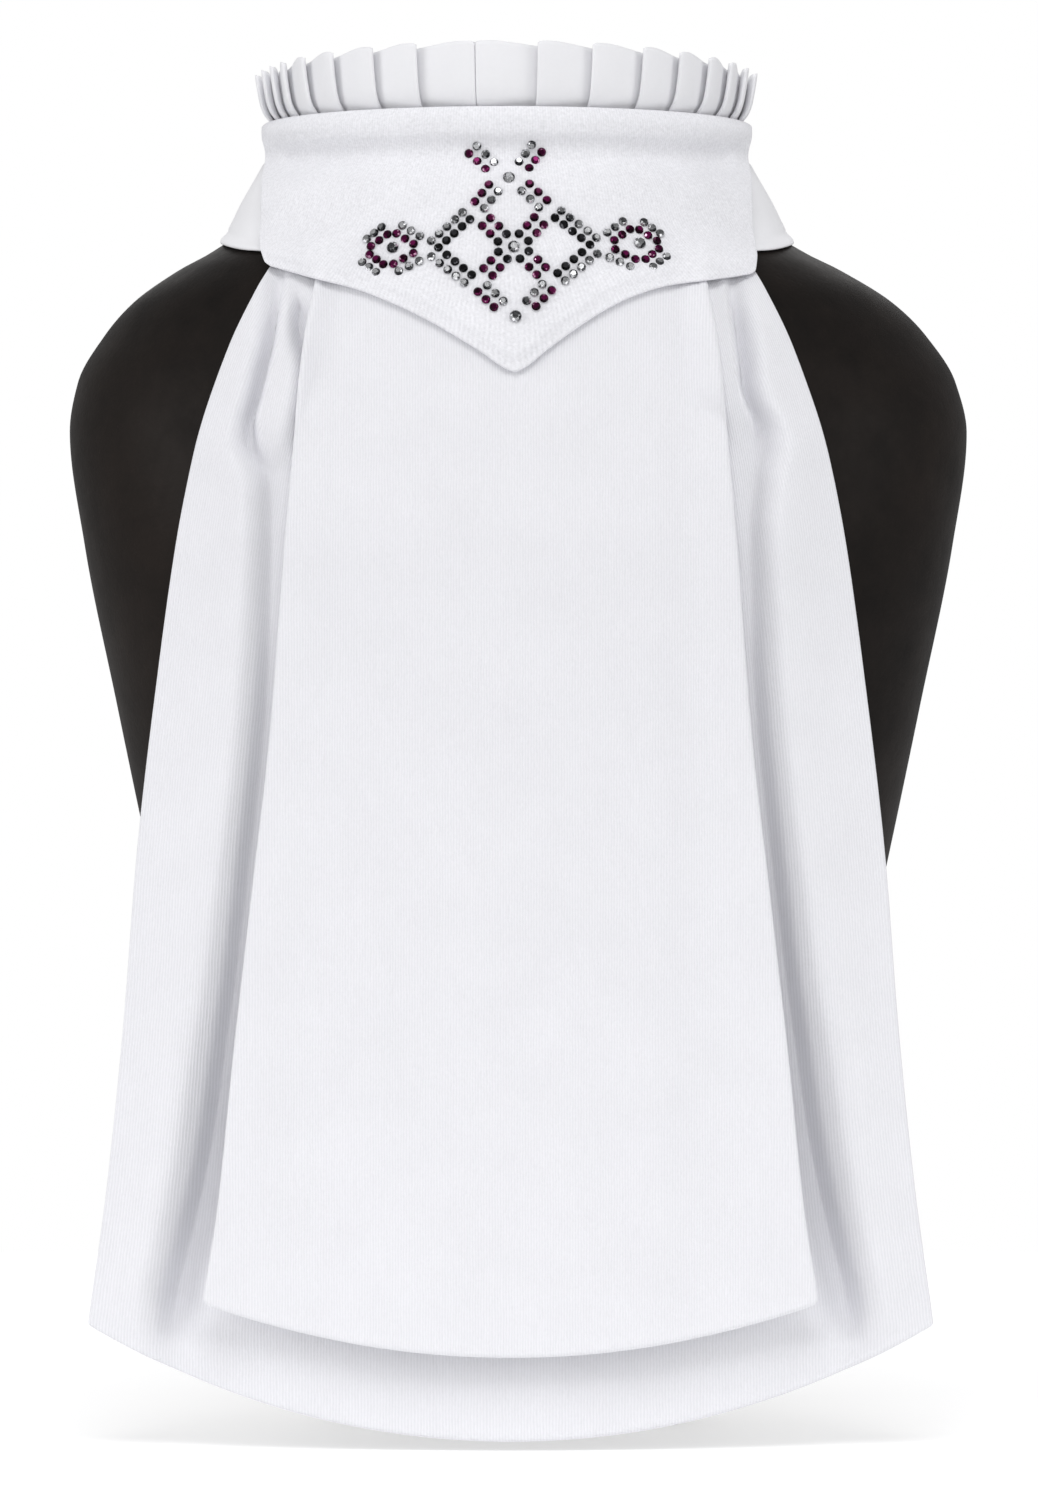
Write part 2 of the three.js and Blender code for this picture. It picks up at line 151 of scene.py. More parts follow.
# How far the collar's inner face stands off the neck, over what lies under it.
LINING_OVER_BIBS = 5.4
LINING_OVER_BANDS = 2.8
LINING_OVER_NECK = 1.2
LINING_OVER_FRILL = 5.0
# The collar's flat size, and the width of its cloth that lies on one radian of the neck.
COLLAR_WIDE = 190.0
COLLAR_TALL = 69.0
COLLAR_CLOTH_RADIUS = 66

# The bibs' outlines: half widths at each height. Their length is that of their grid.
UNDER_OUTLINE = table(
    "z half_width",
    (31, 108),
    (68, 103),
    (109, 99),
    (150, 96),
    (198, 90.5),
    (231, 85.8),
    (255, 80.8),
    (281, 72.3),
    (293, 67),
    (301, 63),
    (307, 59),
)
FRONT_OUTLINE = table(
    "z half_width",
    (39, 78),
    (61, 74.5),
    (102, 70.3),
    (142, 65.8),
    (183, 61.2),
    (224, 58.1),
    (254, 55.6),
    (265, 54.7),
    (275, 53.8),
    (285, 52.6),
    (293, 51.2),
    (303, 49.3),
)
BIB_LENGTH = 290.0
# The under bib's ribs fan out with it: as many lie across it as on a cloth of this half width.
UNDER_CLOTH_HALF = 95
# How each bib is cut: its hem's lowest point, radius and half width, the half width of its top and how
# far that reaches up under the collar, the radius of the hem's corners, and the zone, measured from
# the middle, where its grid is twice as fine.
UNDER_CUT = {
    "hem": 2.4,
    "hem_radius": 217,
    "hem_half": 108,
    "top_half": 60,
    "under_collar": 6,
    "corner": 1.1,
    "fine": (66, 100),
}
FRONT_CUT = {
    "hem": 24.3,
    "hem_radius": 238,
    "hem_half": 78,
    "top_half": 49.5,
    "under_collar": 7,
    "corner": 2.0,
    "fine": (70, 74),
}

# Where the cloth leaves the chest it hangs: how far forward its middle is, and how far its edge
# falls back at 100 mm from the middle.
HANG = table(
    "z forward fall_back",
    (0, 80, 13),
    (60, 79, 15),
    (150, 77, 20),
    (232, 75.3, 26),
    (246, 70, 27),
    (262, 55, 28),
    (300, 0, 28),
)

# The tuck on each side of the under bib, just below the collar: how far from the middle its folded
# edge runs, and how far the folded cloth stands out.
LEFT_TUCK = table(
    "z x height",
    (236, 56, 0),
    (244, 58.6, 0.2),
    (249, 61.4, 1),
    (253, 63.9, 2.6),
    (257, 65, 4.4),
    (261, 64.9, 5.6),
    (268, 63.2, 6.4),
    (276, 61.3, 6.6),
    (282, 60, 6.2),
    (288, 59.1, 5.2),
    (294, 58.3, 3.6),
    (299, 57.6, 1.6),
    (304, 57, 0),
)
RIGHT_TUCK = table(
    "z x height",
    (248, 61.4, 0),
    (254, 63, 0.4),
    (259, 62.8, 1.6),
    (263, 61.4, 3),
    (267, 59.3, 4.8),
    (271, 58.1, 6),
    (275, 57.7, 6.4),
    (281, 57.1, 6.4),
    (287, 56.4, 5.6),
    (293, 55.7, 4),
    (298, 55.2, 1.8),
    (303, 54.8, 0),
)

# The hollow beside each edge of the front bib: how deep it is, how far outside the edge it runs, how
# wide its outer wall is, and how far the under bib's outer part stands forward.
HOLLOW = table(
    "z depth beside wall crest",
    (16, 0, 9, 9, 0),
    (26, 0.3, 9, 10, 0.3),
    (32, 4, 8.5, 10, 1.5),
    (39, 7, 8, 10, 2.5),
    (52, 7, 6.5, 10, 3),
    (87, 5.6, 3, 10, 3.4),
    (127, 3.8, 1.8, 9, 3.6),
    (160, 2.8, 1.6, 9, 3.8),
    (195, 2, 1.7, 9, 4),
    (214, 1.2, 2.2, 9, 4.4),
    (235, 0.7, 3.2, 9, 5.4),
    (248, 0.3, 6, 8, 6.2),
    (263, 0, 10, 6.5, 6.6),
    (286, 0, 9, 6, 5.6),
    (296, 0, 8, 6, 3),
    (302, 0, 8, 6, 0.8),
    (306, 0, 8, 6, 0),
)

# The frill's slit and its pleats' outer folds on each side of it, in degrees round the neck.
SLIT_ANGLE = -6.9
PLEATS_LEFT = (-6.9, -20.1, -30.8, -41.9, -51.3, -59.5, -65.6, -71.5, -78.6, -86.5)
PLEATS_RIGHT = (-6.9, 6.8, 19.2, 31.6, 41.8, 51.6, 60.2, 68.5, 76.3, 86.5)
FRILL_TOP_FRONT = 359.7
FRILL_TOP_SIDES = 354.8
# The frill follows the neck's section at this height.
FRILL_SECTION = 340
# A pleat and the fold under its end, as places on the frill's line round the neck. Each place is a
# share of the pleat or the fold and some degrees more. Level is 0 in a fold's depth and 1 on the
# pleat's outer face, and corner is 1 where the top is rounded off.
PLEAT_FACE = (
    # share, degrees, level, corner
    (0, 0.25, 0.93, 1),
    (0, 0.85, 1.0, 0.35),
    (0.32, 0, 0.86, 0),
    (0.66, 0, 0.50, 0),
    (1, 0, 0.16, 0),
)
PLEAT_FOLD = (
    # share, degrees, level, corner
    (1, 0, 0.0, 0),
    (1, 0.4, 0.09, 0),
    (1, 0, 0.2, 0),
    (0.55, 0, 0.47, 0),
    (0, 0.45, 0.76, 0.4),
)
FOLD_SHARE = 0.34
FOLD_WIDEST = 3.2
FRILL_RISE = table(
    "z offset depth",
    (341.2, 3.2, 1.0),
    (342.6, 3.4, 1.5),
    (343.8, 4.1, 2.0),
    (345.2, 5.1, 2.4),
    (348.0, 6.1, 2.6),
    (356.0, 7.3, 2.9),
    (360.0, 7.6, 3.0),
)

# The neck bands: their heights by angle, where they end, their flat size, how far the upper one is
# lifted where they lap, and the width of cloth that lies on one radian of the neck.
BAND = table(
    "angle low high",
    (40, 305.8, 333),
    (60, 307.6, 333),
    (76, 310.4, 333),
    (90, 312.2, 333.2),
    (135, 312.2, 334),
    (200, 312.2, 334),
)
BAND_END_ANGLE = 196
BAND_WIDE = 160.0
BAND_TALL = 24.0
BAND_LAP = 3.25
BAND_CLOTH_RADIUS = 62
# The fastening patch between them, at the back, and how far its middle stands off the neck.
PATCH_HALF_ANGLE = 11
PATCH_LOW = 315
PATCH_WIDE = 23.0
PATCH_TALL = 15.0
PATCH_HALF_THICKNESS = 0.38
PATCH_STAND = 3.1

# The set stones. Rows of small stones are measured from the middle one: where a row starts, its step
# and its count. Each is set on both sides, and the whole ornament leans a little, as set by hand.
# Each stone's back stands a hair off the knit.
ORNAMENT_X = 0.9
ORNAMENT_Z = 306.2
SIDE_ROWS = (
    # colour, x, z, step x, step z, count
    ("clear", 7.0, 26.8, -1.9, -2.2, 3),
    ("plum", 9.3, 24.9, -1.85, -2.1, 3),
    ("plum", 5.2, 16.5, 2.0, -2.15, 3),
    ("clear", 3.0, 14.7, 1.97, -2.15, 3),
    ("plum", 5.6, 7.8, 2.25, -1.95, 2),
    ("plum", 3.6, 5.7, 2.35, -1.95, 2),
    ("plum", 6.0, -3.2, 1.9, -2.0, 2),
    ("plum", 3.7, -5.05, 1.95, -2.05, 2),
    ("jet", 10.85, 7.6, 2.12, -1.77, 5),
    ("jet", 17.25, -1.45, -2.1, -1.78, 4),
    ("clear", 12.6, 9.45, 2.12, -1.78, 5),
    ("clear", 21.2, -1.8, -2.08, -1.74, 5),
    ("clear", 7.0, -9.6, -2.0, -2.08, 3),
    ("plum", 9.4, -11.2, -2.02, -2.03, 3),
)
RING_X = 31.4
RING_Z = 0.4
RING_ROWS = (
    # colour, x outward from the ring's middle, z, step x, step z, count
    ("plum", 0.8, 4.0, 2.2, -1.45, 3),
    ("plum", -1.55, 4.15, -2.1, -1.45, 3),
    ("plum", 2.1, -3.8, 1.75, 1.35, 3),
    ("plum", -0.5, -3.75, -2.55, 1.3, 3),
    ("clear", 2.2, 6.0, 1.97, -1.47, 3),
    ("clear", -3.2, 6.2, -2.13, -1.45, 3),
    ("clear", 7.5, -3.05, -1.75, -1.37, 3),
    ("clear", -7.1, -3.25, 2.63, -1.22, 3),
)
MIDDLE_RING = {"count": 8, "across": 4.2, "up": 3.5, "x": -0.2, "z": 0.35}
LARGE_STONES = ("stone_top", "stone_centre", "stone_point", "stone_ring_left", "stone_ring_right")
SMALL_STONE_HEIGHT = 0.95
LARGE_STONE_HEIGHT = 1.2
STONE_STAND = 0.05
STONE_FINISHES = (
    # colour, painted shade of the unlit facets, painted glints' colour, metallic, specular level
    ("clear", (0.008, 0.009, 0.012, 1), (0.97, 0.97, 1.0), 0.55, 0.5),
    ("plum", (0.006, 0.0005, 0.003, 1), (0.75, 0.42, 0.6), 0.3, 0.1),
    ("jet", (0.0008, 0.0008, 0.001, 1), (0.2, 0.2, 0.22), 0.1, 0.1),
)

# The stage: soft square lights that shine at one point, and a level camera, both in metres, and a
# round floor in millimetres.
LIGHTS = (
    # name, place, size, the setting that holds its power, share of that power
    ("light_left", (-2.0, -1.0, 0.8), 1.2, "side_power", 1.12),
    ("light_right", (2.0, -1.0, 0.8), 1.2, "side_power", 0.88),
    ("light_front", (0, -1.5, 2.0), 1.2, "front_power", 1),
    ("light_back", (0, 2.0, 1.6), 1.6, "back_power", 1),
)
LIGHT_AIM = (0, 0, 0.2)
FLOOR_RADIUS = 700
FLOOR_CORNERS = 96
CAMERA_LENS = 181.4
CAMERA_X = 0.0021
CAMERA_Z = 0.178


# Curves and small sums

def lerp(a, b, t):
    return a + (b - a) * t


def smooth_step(low, high, x):
    t = np.clip((x - low) / (high - low), 0, 1)
    return t * t * (3 - 2 * t)


def bell(x, width):
    """1 at x = 0, falling to nothing a few widths away."""
    return np.exp(-((x / width) ** 2))


def smooth_max(a, b, blend):
    return (a + b + np.hypot(a - b, blend)) / 2


def curve(xs, ys):
    """A smooth curve through points, which never overshoots them."""
    rises = np.diff(ys) / np.diff(xs)
    total = rises[:-1] + rises[1:]
    product = rises[:-1] * rises[1:]
    inner = np.where(product > 0, 2 * product / np.where(total == 0, 1, total), 0)
    slopes = np.concatenate([rises[:1], inner, rises[-1:]])

    def value(at):
        x = np.clip(at, xs[0], xs[-1])
        i = np.clip(np.searchsorted(xs, x) - 1, 0, len(xs) - 2)
        width = xs[i + 1] - xs[i]
        t = (x - xs[i]) / width
        bend = slopes[i] * (1 - t) - slopes[i + 1] * t
        rise = ys[i + 1] - ys[i]
        return ys[i] + rise * t + t * (1 - t) * (bend * width - rise * (1 - 2 * t))

    return value


def curves(rows):
    """A curve over a table's first column for each of its other columns."""
    first, *others = rows.values()
    return [curve(first, column) for column in others]


def solve(rising, target, low, high):
    """Where a rising function reaches a target, for a whole array at once."""
    below, above = np.broadcast_arrays(np.asarray(low, float), np.asarray(target, float) * 0 + high)
    below, above = below.copy(), above.copy()
    for _ in range(24):
        middle = (below + above) / 2
        short = rising(middle) < target
        below = np.where(short, middle, below)
        above = np.where(short, above, middle)
    return (below + above) / 2


def stations(length, step, edge_low=True, edge_high=True):
    """Places along a length, closer together where they meet a rounded edge."""
    near_edge = np.array([0, 0.06, 0.22, 0.48, 0.8, 1.2, 1.8, 2.6])
    low = near_edge if edge_low else np.array([0.0])
    high = length - (near_edge if edge_high else np.array([0.0]))[::-1]
    count = max(int(round((high[0] - low[-1]) / step)), 1)
    middle = np.linspace(low[-1], high[0], count + 1)[1:-1]
    return np.concatenate([low, middle, high])


def refined(places, low, high):
    """Places with one more between each two whose distance from the middle lies in a zone."""
    halfway = (places[1:] + places[:-1]) / 2
    reach = np.abs(halfway - (places[0] + places[-1]) / 2)
    return np.sort(np.concatenate([places, halfway[(reach > low) & (reach < high)]]))


def flat_grid(across, up):
    """A panel's grid: how far each point is from the panel's left and right side, foot and top."""
    up_grid, across_grid = np.meshgrid(up, across, indexing="ij")
    return across_grid, across[-1] - across_grid, up_grid, up[-1] - up_grid


def round_corner(across, up, radius):
    """Rounds a grid's square corner: takes the distances from two edges and gives new ones."""
    qx = np.clip(1 - across / radius, 0, 1)
    qz = np.clip(1 - up / radius, 0, 1)
    new_across = across + radius * qx * (1 - np.sqrt(1 - qz**2 / 2))
    new_up = up + radius * qz * (1 - np.sqrt(1 - qx**2 / 2))
    return new_across, new_up


def round_ends(side, low, high, radius_low, radius_high):
    """Rounds a panel's corners at its foot and top: gives the new distance from its side, and the new
    place up the panel."""
    new_side, new_low = round_corner(side, low, radius_low)
    new_side, new_high = round_corner(new_side, high, radius_high)
    return new_side, np.where(low < high, new_low, low + high - new_high)


def share_across(new_side, left, right):
    """A place across a panel, from -1 at its left side to 1 at its right one."""
    return (1 - new_side / ((left + right) / 2)) * np.sign(left - right)


def edge_profile(distance, radius):
    """The share of the full thickness at a distance from a half-round edge."""
    t = np.clip(distance / radius, 0, 1)
    return np.sqrt(np.clip(1 - (1 - t) ** 2, 0, 1))


# The bust's shape

bust_half_width, bust_front, bust_back, bust_square, bust_side = curves(BUST)


def neck_point(z, angle, offset=0.0):
    """The point of the bust's section at a height and an angle, pushed straight out by an offset."""
    z, angle, offset = np.broadcast_arrays(z, angle, offset)
    power = 2 / bust_square(z)
    sine, cosine = np.sin(np.radians(angle)), np.cos(np.radians(angle))
    width = bust_half_width(z)
    depth = np.where(cosine > 0, bust_front(z), bust_back(z))
    across = np.sign(sine) * np.abs(sine) ** power
    along = np.sign(cosine) * np.abs(cosine) ** power
    normal_x = np.sign(sine) * np.abs(sine) ** (2 - power) / width
    normal_y = -np.sign(cosine) * np.abs(cosine) ** (2 - power) / depth
    size = np.hypot(normal_x, normal_y)
    x = bust_side(z) + width * across + normal_x / size * offset
    y = -depth * along + normal_y / size * offset
    return np.stack([x, y, z.astype(float)], axis=-1)


def bust_depth(x, z):
    """How far forward the bust's front is at a place of the front view."""
    reach = np.minimum(np.abs(x - bust_side(z)) / bust_half_width(z), 1)
    square = bust_square(z)
    return bust_front(z) * (1 - reach**square) ** (1 / square)


# The collar's shape

[collar_edge] = curves(COLLAR_EDGE)
[collar_lean] = curves(COLLAR_LEAN)
[collar_face] = curves(COLLAR_FACE)


def collar_lower_edge(x):
    """The height of the collar's lower edge, which is not quite the same on both sides."""
    return collar_edge(np.abs(x - COLLAR_POINT_X)) + collar_lean(x)


def collar_edge_angle(z):
    """The angle at which the collar's side edge stands at a height."""

    def across(angle):
        return neck_point(z, angle, collar_face(z))[..., 0] - bust_side(z)

    bulge = sum(size * bell(z - place, width) for place, width, size in COLLAR_SWELLS)
    return solve(across, COLLAR_HALF_WIDTH + bulge, 0, COLLAR_WIDEST_ANGLE)


def collar_column_foot(column):
    """The height of the collar's lower edge on a column, from -1 at one side to 1 at the other."""
    fine = np.linspace(-1, 1, 401)
    z = np.full_like(fine, COLLAR_EDGE["z"][0])
    for _ in range(20):
        x = neck_point(z, fine * collar_edge_angle(z), collar_face(z))[..., 0]
        z = collar_lower_edge(x)
    return np.interp(column, fine, z)


def collar_lining(z, column, foot):
    """How far the collar's inner face stands off the neck, over the cloth that lies under it."""
    side = np.abs(column)
    upper = lerp(LINING_OVER_NECK, LINING_OVER_BANDS, smooth_step(0.8, 0.9, side))
    # It clears the front bib's edge, and beside that only the under bib lies under it.
    low = LINING_OVER_BIBS + 1.1 * bell(side - 0.745, 0.06) - 1.3 * smooth_step(0.79, 0.86, side)
    low = lerp(low, upper, smooth_step(9, 14, z - foot))
    return lerp(low, LINING_OVER_FRILL, smooth_step(333, 341, z))


def collar_outer(z, column):
    """How far the collar's face stands off the neck, with the crease under its top roll, which is
    deep at the sides and shallow in the middle."""
    side = np.abs(column)
    place = lerp(CREASE["z_middle"], CREASE["z_side"], side**2)
    depth = lerp(CREASE["depth_middle"], CREASE["depth_side"], smooth_step(0.2, 0.7, side))
    crease = depth * bell(z - place, CREASE["width"]) * (1 - 0.55 * smooth_step(0.86, 1, side))
    roll = 0.7 * bell(z - 339.6, 2.8) * smooth_step(0.1, 0.7, side) * smooth_step(1.05, 0.85, side)
    swell = 0.5 * bell(z - 314, 9) * smooth_step(0.3, 1.0, side)
    return collar_face(z) - crease + roll + swell


# The bibs' shape

hang_forward, hang_fall_back = curves(HANG)
tuck_edges = [curves(tuck) for tuck in (LEFT_TUCK, RIGHT_TUCK)]
hollow_depth, hollow_beside, hollow_wall, crest_height = curves(HOLLOW)
[under_half_width] = curves(UNDER_OUTLINE)
[front_half_width] = curves(FRONT_OUTLINE)


def drape_depth(x, z):
    """How far forward a cloth lies that drapes over the chest and hangs from it."""
    hanging = hang_forward(z) - hang_fall_back(z) * (x / 100) ** 2
    return smooth_max(bust_depth(x, z), hanging, 3)


def tuck_at(x, z):
    """Where the folded edge of the tuck on a point's own side runs, and how far the tuck stands out."""
    left, right = [(place(z), height(z)) for place, height in tuck_edges]
    return np.where(x < 0, left[0], right[0]), np.where(x < 0, left[1], right[1])


def under_bib_rise(x, z):
    """How far forward the under bib stands, before the small dent below the collar."""
    side = np.abs(x)
    high = smooth_step(232, 262, z)
    # The tuck rises slowly from the middle and ends in a fold, which is softer at its lower end.
    fold, height = tuck_at(x, z)
    past_fold = side - fold
    soft = lerp(0.7, 3.5, smooth_step(264, 250, z))
    rise = height * smooth_step(0.5, -soft, past_fold) * smooth_step(-15, -5, past_fold)
    # The hollow follows the front bib's edge, and high up the tuck's fold.
    edge = front_half_width(z)
    from_hollow = side - lerp(edge + hollow_beside(z), fold + 0.8, smooth_step(236, 258, z))
    hollow = hollow_depth(z) * smooth_step(hollow_wall(z) * 0.5, 0, from_hollow)
    hollow = hollow * smooth_step(-16, -2, from_hollow)
    # Outside the hollow its wall climbs to a crest, which sinks again towards the bib's own edge.
    wall = hollow_wall(z) * (1 + 0.1 * high * (x > 0))
    crest = crest_height(z) * (1 + 0.25 * high) * smooth_step(0, wall, from_hollow)
    crest = crest * (1 - 0.45 * smooth_step(wall, wall + 14, from_hollow))
    # Lower down the outer part bows forward, and the whole cloth sways a little.
    bow = 4 * smooth_step(175, 40, z) * smooth_step(4, 18, side - edge)
    sway = 0.5 * np.sin(x / 11 + z / 37) * np.sin(z / 29) * smooth_step(240, 150, z)
    return drape_depth(x, z) + 1.2 + rise + bow + crest + sway - hollow


def under_bib_depth(x, z):
    """How far forward the under bib lies, with a dent beside its left tuck, and clear of the bust."""
    dent = 9 * bell(x + 53.3 + 0.1 * (z - 286), 2.5) * bell(z - 285.5, 7)
    return smooth_max(under_bib_rise(x, z) - dent, bust_depth(x, z) + 1.0, 0.5)


def front_bib_depth(x, z):
    """How far forward the front bib lies: it hovers more towards its hem, its side edges lift, and it
    stays clear of the under bib."""
    side = np.abs(x) / front_half_width(z)
    hover = (5 + 2.5 * (x / FRONT_CUT["hem_half"]) ** 2) * smooth_step(272, 24, z)
    lift = 3 * smooth_step(0.72, 1, side) * smooth_step(298, 274, z) * smooth_step(20, 60, z)
    sway = 0.35 * np.sin(x / 17 + 1.3) * np.sin(z / 41 + 0.6) * smooth_step(260, 180, z)
    hanging = drape_depth(x, z) + 3.1 + 0.9 * smooth_step(47, 36, np.abs(x)) + hover + lift + sway
    clear = 1.9 + 0.6 * smooth_step(250, 262, z) + 0.4 * smooth_step(299, 302, z)
    return smooth_max(hanging, under_bib_rise(x, z) + clear, 0.8)


# Meshes

def shell(middle_grid, half_thickness, normals):
    """The points and faces of a closed cloth shell. Its two faces meet along the grid's edges."""
    rows, columns, _ = middle_grid.shape
    shift = normals * half_thickness[..., None]
    front = (middle_grid + shift).reshape(-1, 3)
    back = (middle_grid - shift).reshape(-1, 3)
    number = np.arange(rows * columns).reshape(rows, columns)
    inner = np.zeros((rows, columns), bool)
    inner[1:-1, 1:-1] = True
    back_number = number.copy()
    back_number[inner] = rows * columns + np.arange(inner.sum())
    points = np.concatenate([front, back[inner.ravel()]])
    quads = [number[:-1, :-1], number[1:, :-1], number[1:, 1:], number[:-1, 1:]]
    back_quads = [back_number[:-1, :-1], back_number[:-1, 1:], back_number[1:, 1:], back_number[1:, :-1]]
    faces = np.concatenate([np.stack(q, -1).reshape(-1, 4) for q in (quads, back_quads)])
    order = np.concatenate([np.arange(rows * columns), np.flatnonzero(inner.ravel())])
    return points, faces, order


def outward(points, faces):
    """The faces, turned so that they point out."""
    a, b, c = (points[faces[:, i]] for i in range(3))
    d = points[faces[:, 3]]
    volume = (a * np.cross(b, c)).sum() + (a * np.cross(c, d)).sum()
    return faces if volume > 0 else faces[:, ::-1]


def add_mesh(name, points, faces, material, smooth=True):
    """A new mesh object in the scene, from points in millimetres."""
    old = bpy.data.objects.get(name)
    if old is not None:
        bpy.data.objects.remove(old)
    mesh = bpy.data.meshes.new(name)
    mesh.from_pydata((np.asarray(points) * MM).tolist(), [], [list(map(int, f)) for f in faces])
    mesh.validate()
    mesh.polygons.foreach_set("use_smooth", [smooth] * len(mesh.polygons))
    mesh.materials.append(material)
    piece = bpy.data.objects.new(name, mesh)
    bpy.context.scene.collection.objects.link(piece)
    return piece


def cloth_shell(name, middle, half, normals, flat, material):
    """A closed shell of cloth. It keeps where each point lay on the flat cloth, across and along it in
    millimetres, for the knit and the weave."""
    points, faces, order = shell(middle, half, normals)
    piece = add_mesh(name, points, outward(points, faces), material)
    across, along = np.broadcast_arrays(*flat)
    place = np.stack([across, along, np.zeros(along.shape)], -1).reshape(-1, 3)[order]
    attribute = piece.data.attributes.new("cloth", "FLOAT_VECTOR", "POINT")
    attribute.data.foreach_set("vector", place.astype(np.float32).ravel())
    return piece


def neck_shell(name, z, angle, stand, half, across, material):
    """A closed shell of cloth round the neck, whose middle stands off the neck by a distance."""
    middle = neck_point(z, angle, stand)
    straight_out = neck_point(z, angle, stand + 1) - middle
    return cloth_shell(name, middle, half, straight_out, (across, z), material)


def belongs(piece, slot, *nodes):
    """The piece rides on the one body and stands for these CAD nodes."""
    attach(piece, "root")
    if nodes:
        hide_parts(*nodes)
    return piece


def flat_area(half_width, foot, top):
    """The area in square metres of a panel that is cut to an outline."""
    z = np.linspace(foot, top, 400)
    return float(np.mean(2 * half_width(z)) * (top - foot) * MM * MM)


# Materials

LOOP_TO_RIB = 0.72
THREAD_PITCH = 0.42
HOOKS_PER_MM = 1.4
PLAIN_SPECULAR = 0.3


def operator_pair(operation):
    """An operator between wires and numbers, and its reflected form, each as one Math node."""

    def forward(self, other):
        return self.math(operation, self, other)

    def reflected(self, other):
        return self.math(operation, other, self)

    return forward, reflected


class Wire:
    """One output of a material's node. Sums on wires and numbers add Math nodes to the material."""

    __add__, __radd__ = operator_pair("ADD")
    __sub__, __rsub__ = operator_pair("SUBTRACT")
    __mul__, __rmul__ = operator_pair("MULTIPLY")
    __truediv__, __rtruediv__ = operator_pair("DIVIDE")
    __pow__, __rpow__ = operator_pair("POWER")

    def __init__(self, paint, socket):
        self.paint = paint
        self.socket = socket

    def __getitem__(self, name):
        return Wire(self.paint, self.socket.node.outputs[name])

    def math(self, operation, *values):
        return self.paint.node("ShaderNodeMath", {"operation": operation}, dict(enumerate(values)))

    def wave(self):
        """The sine of the value, from 0 to 1 instead of from -1 to 1."""
        return self.math("SINE", self) * 0.5 + 0.5

    def size(self):
        return self.math("ABSOLUTE", self)

    def part(self):
        """The value's part after the point."""
        return self.math("FRACT", self)

    def between(self, low, high):
        """0 up to low and 1 from high on, with a straight rise between."""
        inputs = {0: self, 1: low, 2: high, 3: 0.0, 4: 1.0}
        return self.paint.node("ShaderNodeMapRange", {"clamp": True}, inputs)


class Paint:
    """A material that is being made, with one principled shader."""

    def __init__(self, name):
        self.material = bpy.data.materials.get(name) or bpy.data.materials.new(name)
        self.material.use_nodes = True
        self.tree = self.material.node_tree
        self.tree.nodes.clear()

    def node(self, kind, settings, inputs):
        """Adds a node: its settings first, such as a Math node's operation, then the values and links
        of its sockets, by name or number. Gives its first output that is in use."""
        made = self.tree.nodes.new(kind)
        for key, value in settings.items():
            setattr(made, key, value)
        for key, value in inputs.items():
            if isinstance(value, Wire):
                self.tree.links.new(value.socket, made.inputs[key])
            else:
                made.inputs[key].default_value = value
        used = [output for output in made.outputs if output.enabled]
        return Wire(self, used[0] if used else None)

    def attribute(self, name):
        """An attribute of the mesh, such as the place on the flat cloth."""
        return self.node("ShaderNodeAttribute", {"attribute_name": name}, {})

    def cloth(self):
        """How far across and along the flat cloth a point lies, in millimetres."""
        place = self.node("ShaderNodeSeparateXYZ", {}, {"Vector": self.attribute("cloth")["Vector"]})
        return place["X"], place["Y"]

    def mix(self, factor, first, second):
        """Two colours, mixed by a value."""
        settings = {"data_type": "RGBA"}
        return self.node("ShaderNodeMix", settings, {"Factor": factor, 6: first, 7: second})

    def noise(self, scale, detail=2.0, roughness=0.5):
        """Noise over the object's own space, from 0 to 1. Scale is in cells for each metre."""
        place = self.node("ShaderNodeTexCoord", {}, {})["Object"]
        sockets = {"Vector": place, "Scale": scale, "Detail": detail, "Roughness": roughness}
        return self.node("ShaderNodeTexNoise", {}, sockets)

    def bump(self, height, strength=1.0):
        """A normal from a height in millimetres."""
        return self.node("ShaderNodeBump", {}, {"Height": height, "Distance": MM, "Strength": strength})

    def finish(self, **sockets):
        """The surface, from the principled shader's sockets, named with _ for a space."""
        inputs = {"Specular IOR Level": PLAIN_SPECULAR}
        inputs.update((key.replace("_", " "), value) for key, value in sockets.items())
        surface = self.node("ShaderNodeBsdfPrincipled", {}, inputs)
        self.node("ShaderNodeOutputMaterial", {}, {"Surface": surface})
        return self.material


def shade(colour, share):
    """A colour that is darker or lighter by a share, with its alpha."""
    return tuple(min(channel * share, 1.0) for channel in colour[:3]) + (1.0,)


def knit_material(name, colour, rib, brushed):
    """Ribbed knit: ribs that run down the cloth with loops along them, and a brushed nap over them.
    Brushed is 1 where the nap almost hides the ribs."""
    paint = Paint(name)
    across, along = paint.cloth()
    across = across + paint.noise(160, 2.0) * 0.5
    ribs = (across * (FULL_TURN / rib)).wave()
    leg = ((across / rib).part() - 0.5).size() * 2
    loops = ((along / (rib * LOOP_TO_RIB) + leg) * FULL_TURN).wave()
    nap = paint.noise(1400, 3.0, 0.7)
    cloud = paint.noise(55, 3.0, 0.6)
    clear = 1 - 0.65 * brushed
    # Painted shade: the base colour is lighter on the ribs' crests and the loops and darker in the grooves
    # between them, and the nap and cloud vary it at random.
    tone_and_painted_rib_shade = ribs * (0.42 * clear) + loops * 0.15 + nap * (0.35 + 0.8 * brushed) + cloud * 0.3
    light = tone_and_painted_rib_shade.between(0.25 + 0.1 * brushed, 1.05 + 0.15 * brushed)
    dark_colour, light_colour = shade(colour, 0.88 - 0.12 * brushed), shade(colour, 1.04 + 0.03 * brushed)
    stitches = ribs * (0.04 * clear) + loops * ribs * (0.025 * clear)
    height = stitches + nap * (0.07 + 0.1 * brushed) + cloud * 0.07
    return paint.finish(
        Base_Color=paint.mix(light, dark_colour, light_colour),
        Roughness=light * -0.12 + 0.95,
        Sheen_Weight=0.12,
        Sheen_Roughness=0.5,
        Specular_IOR_Level=0.2,
        Normal=paint.bump(height, 1.0),
    )


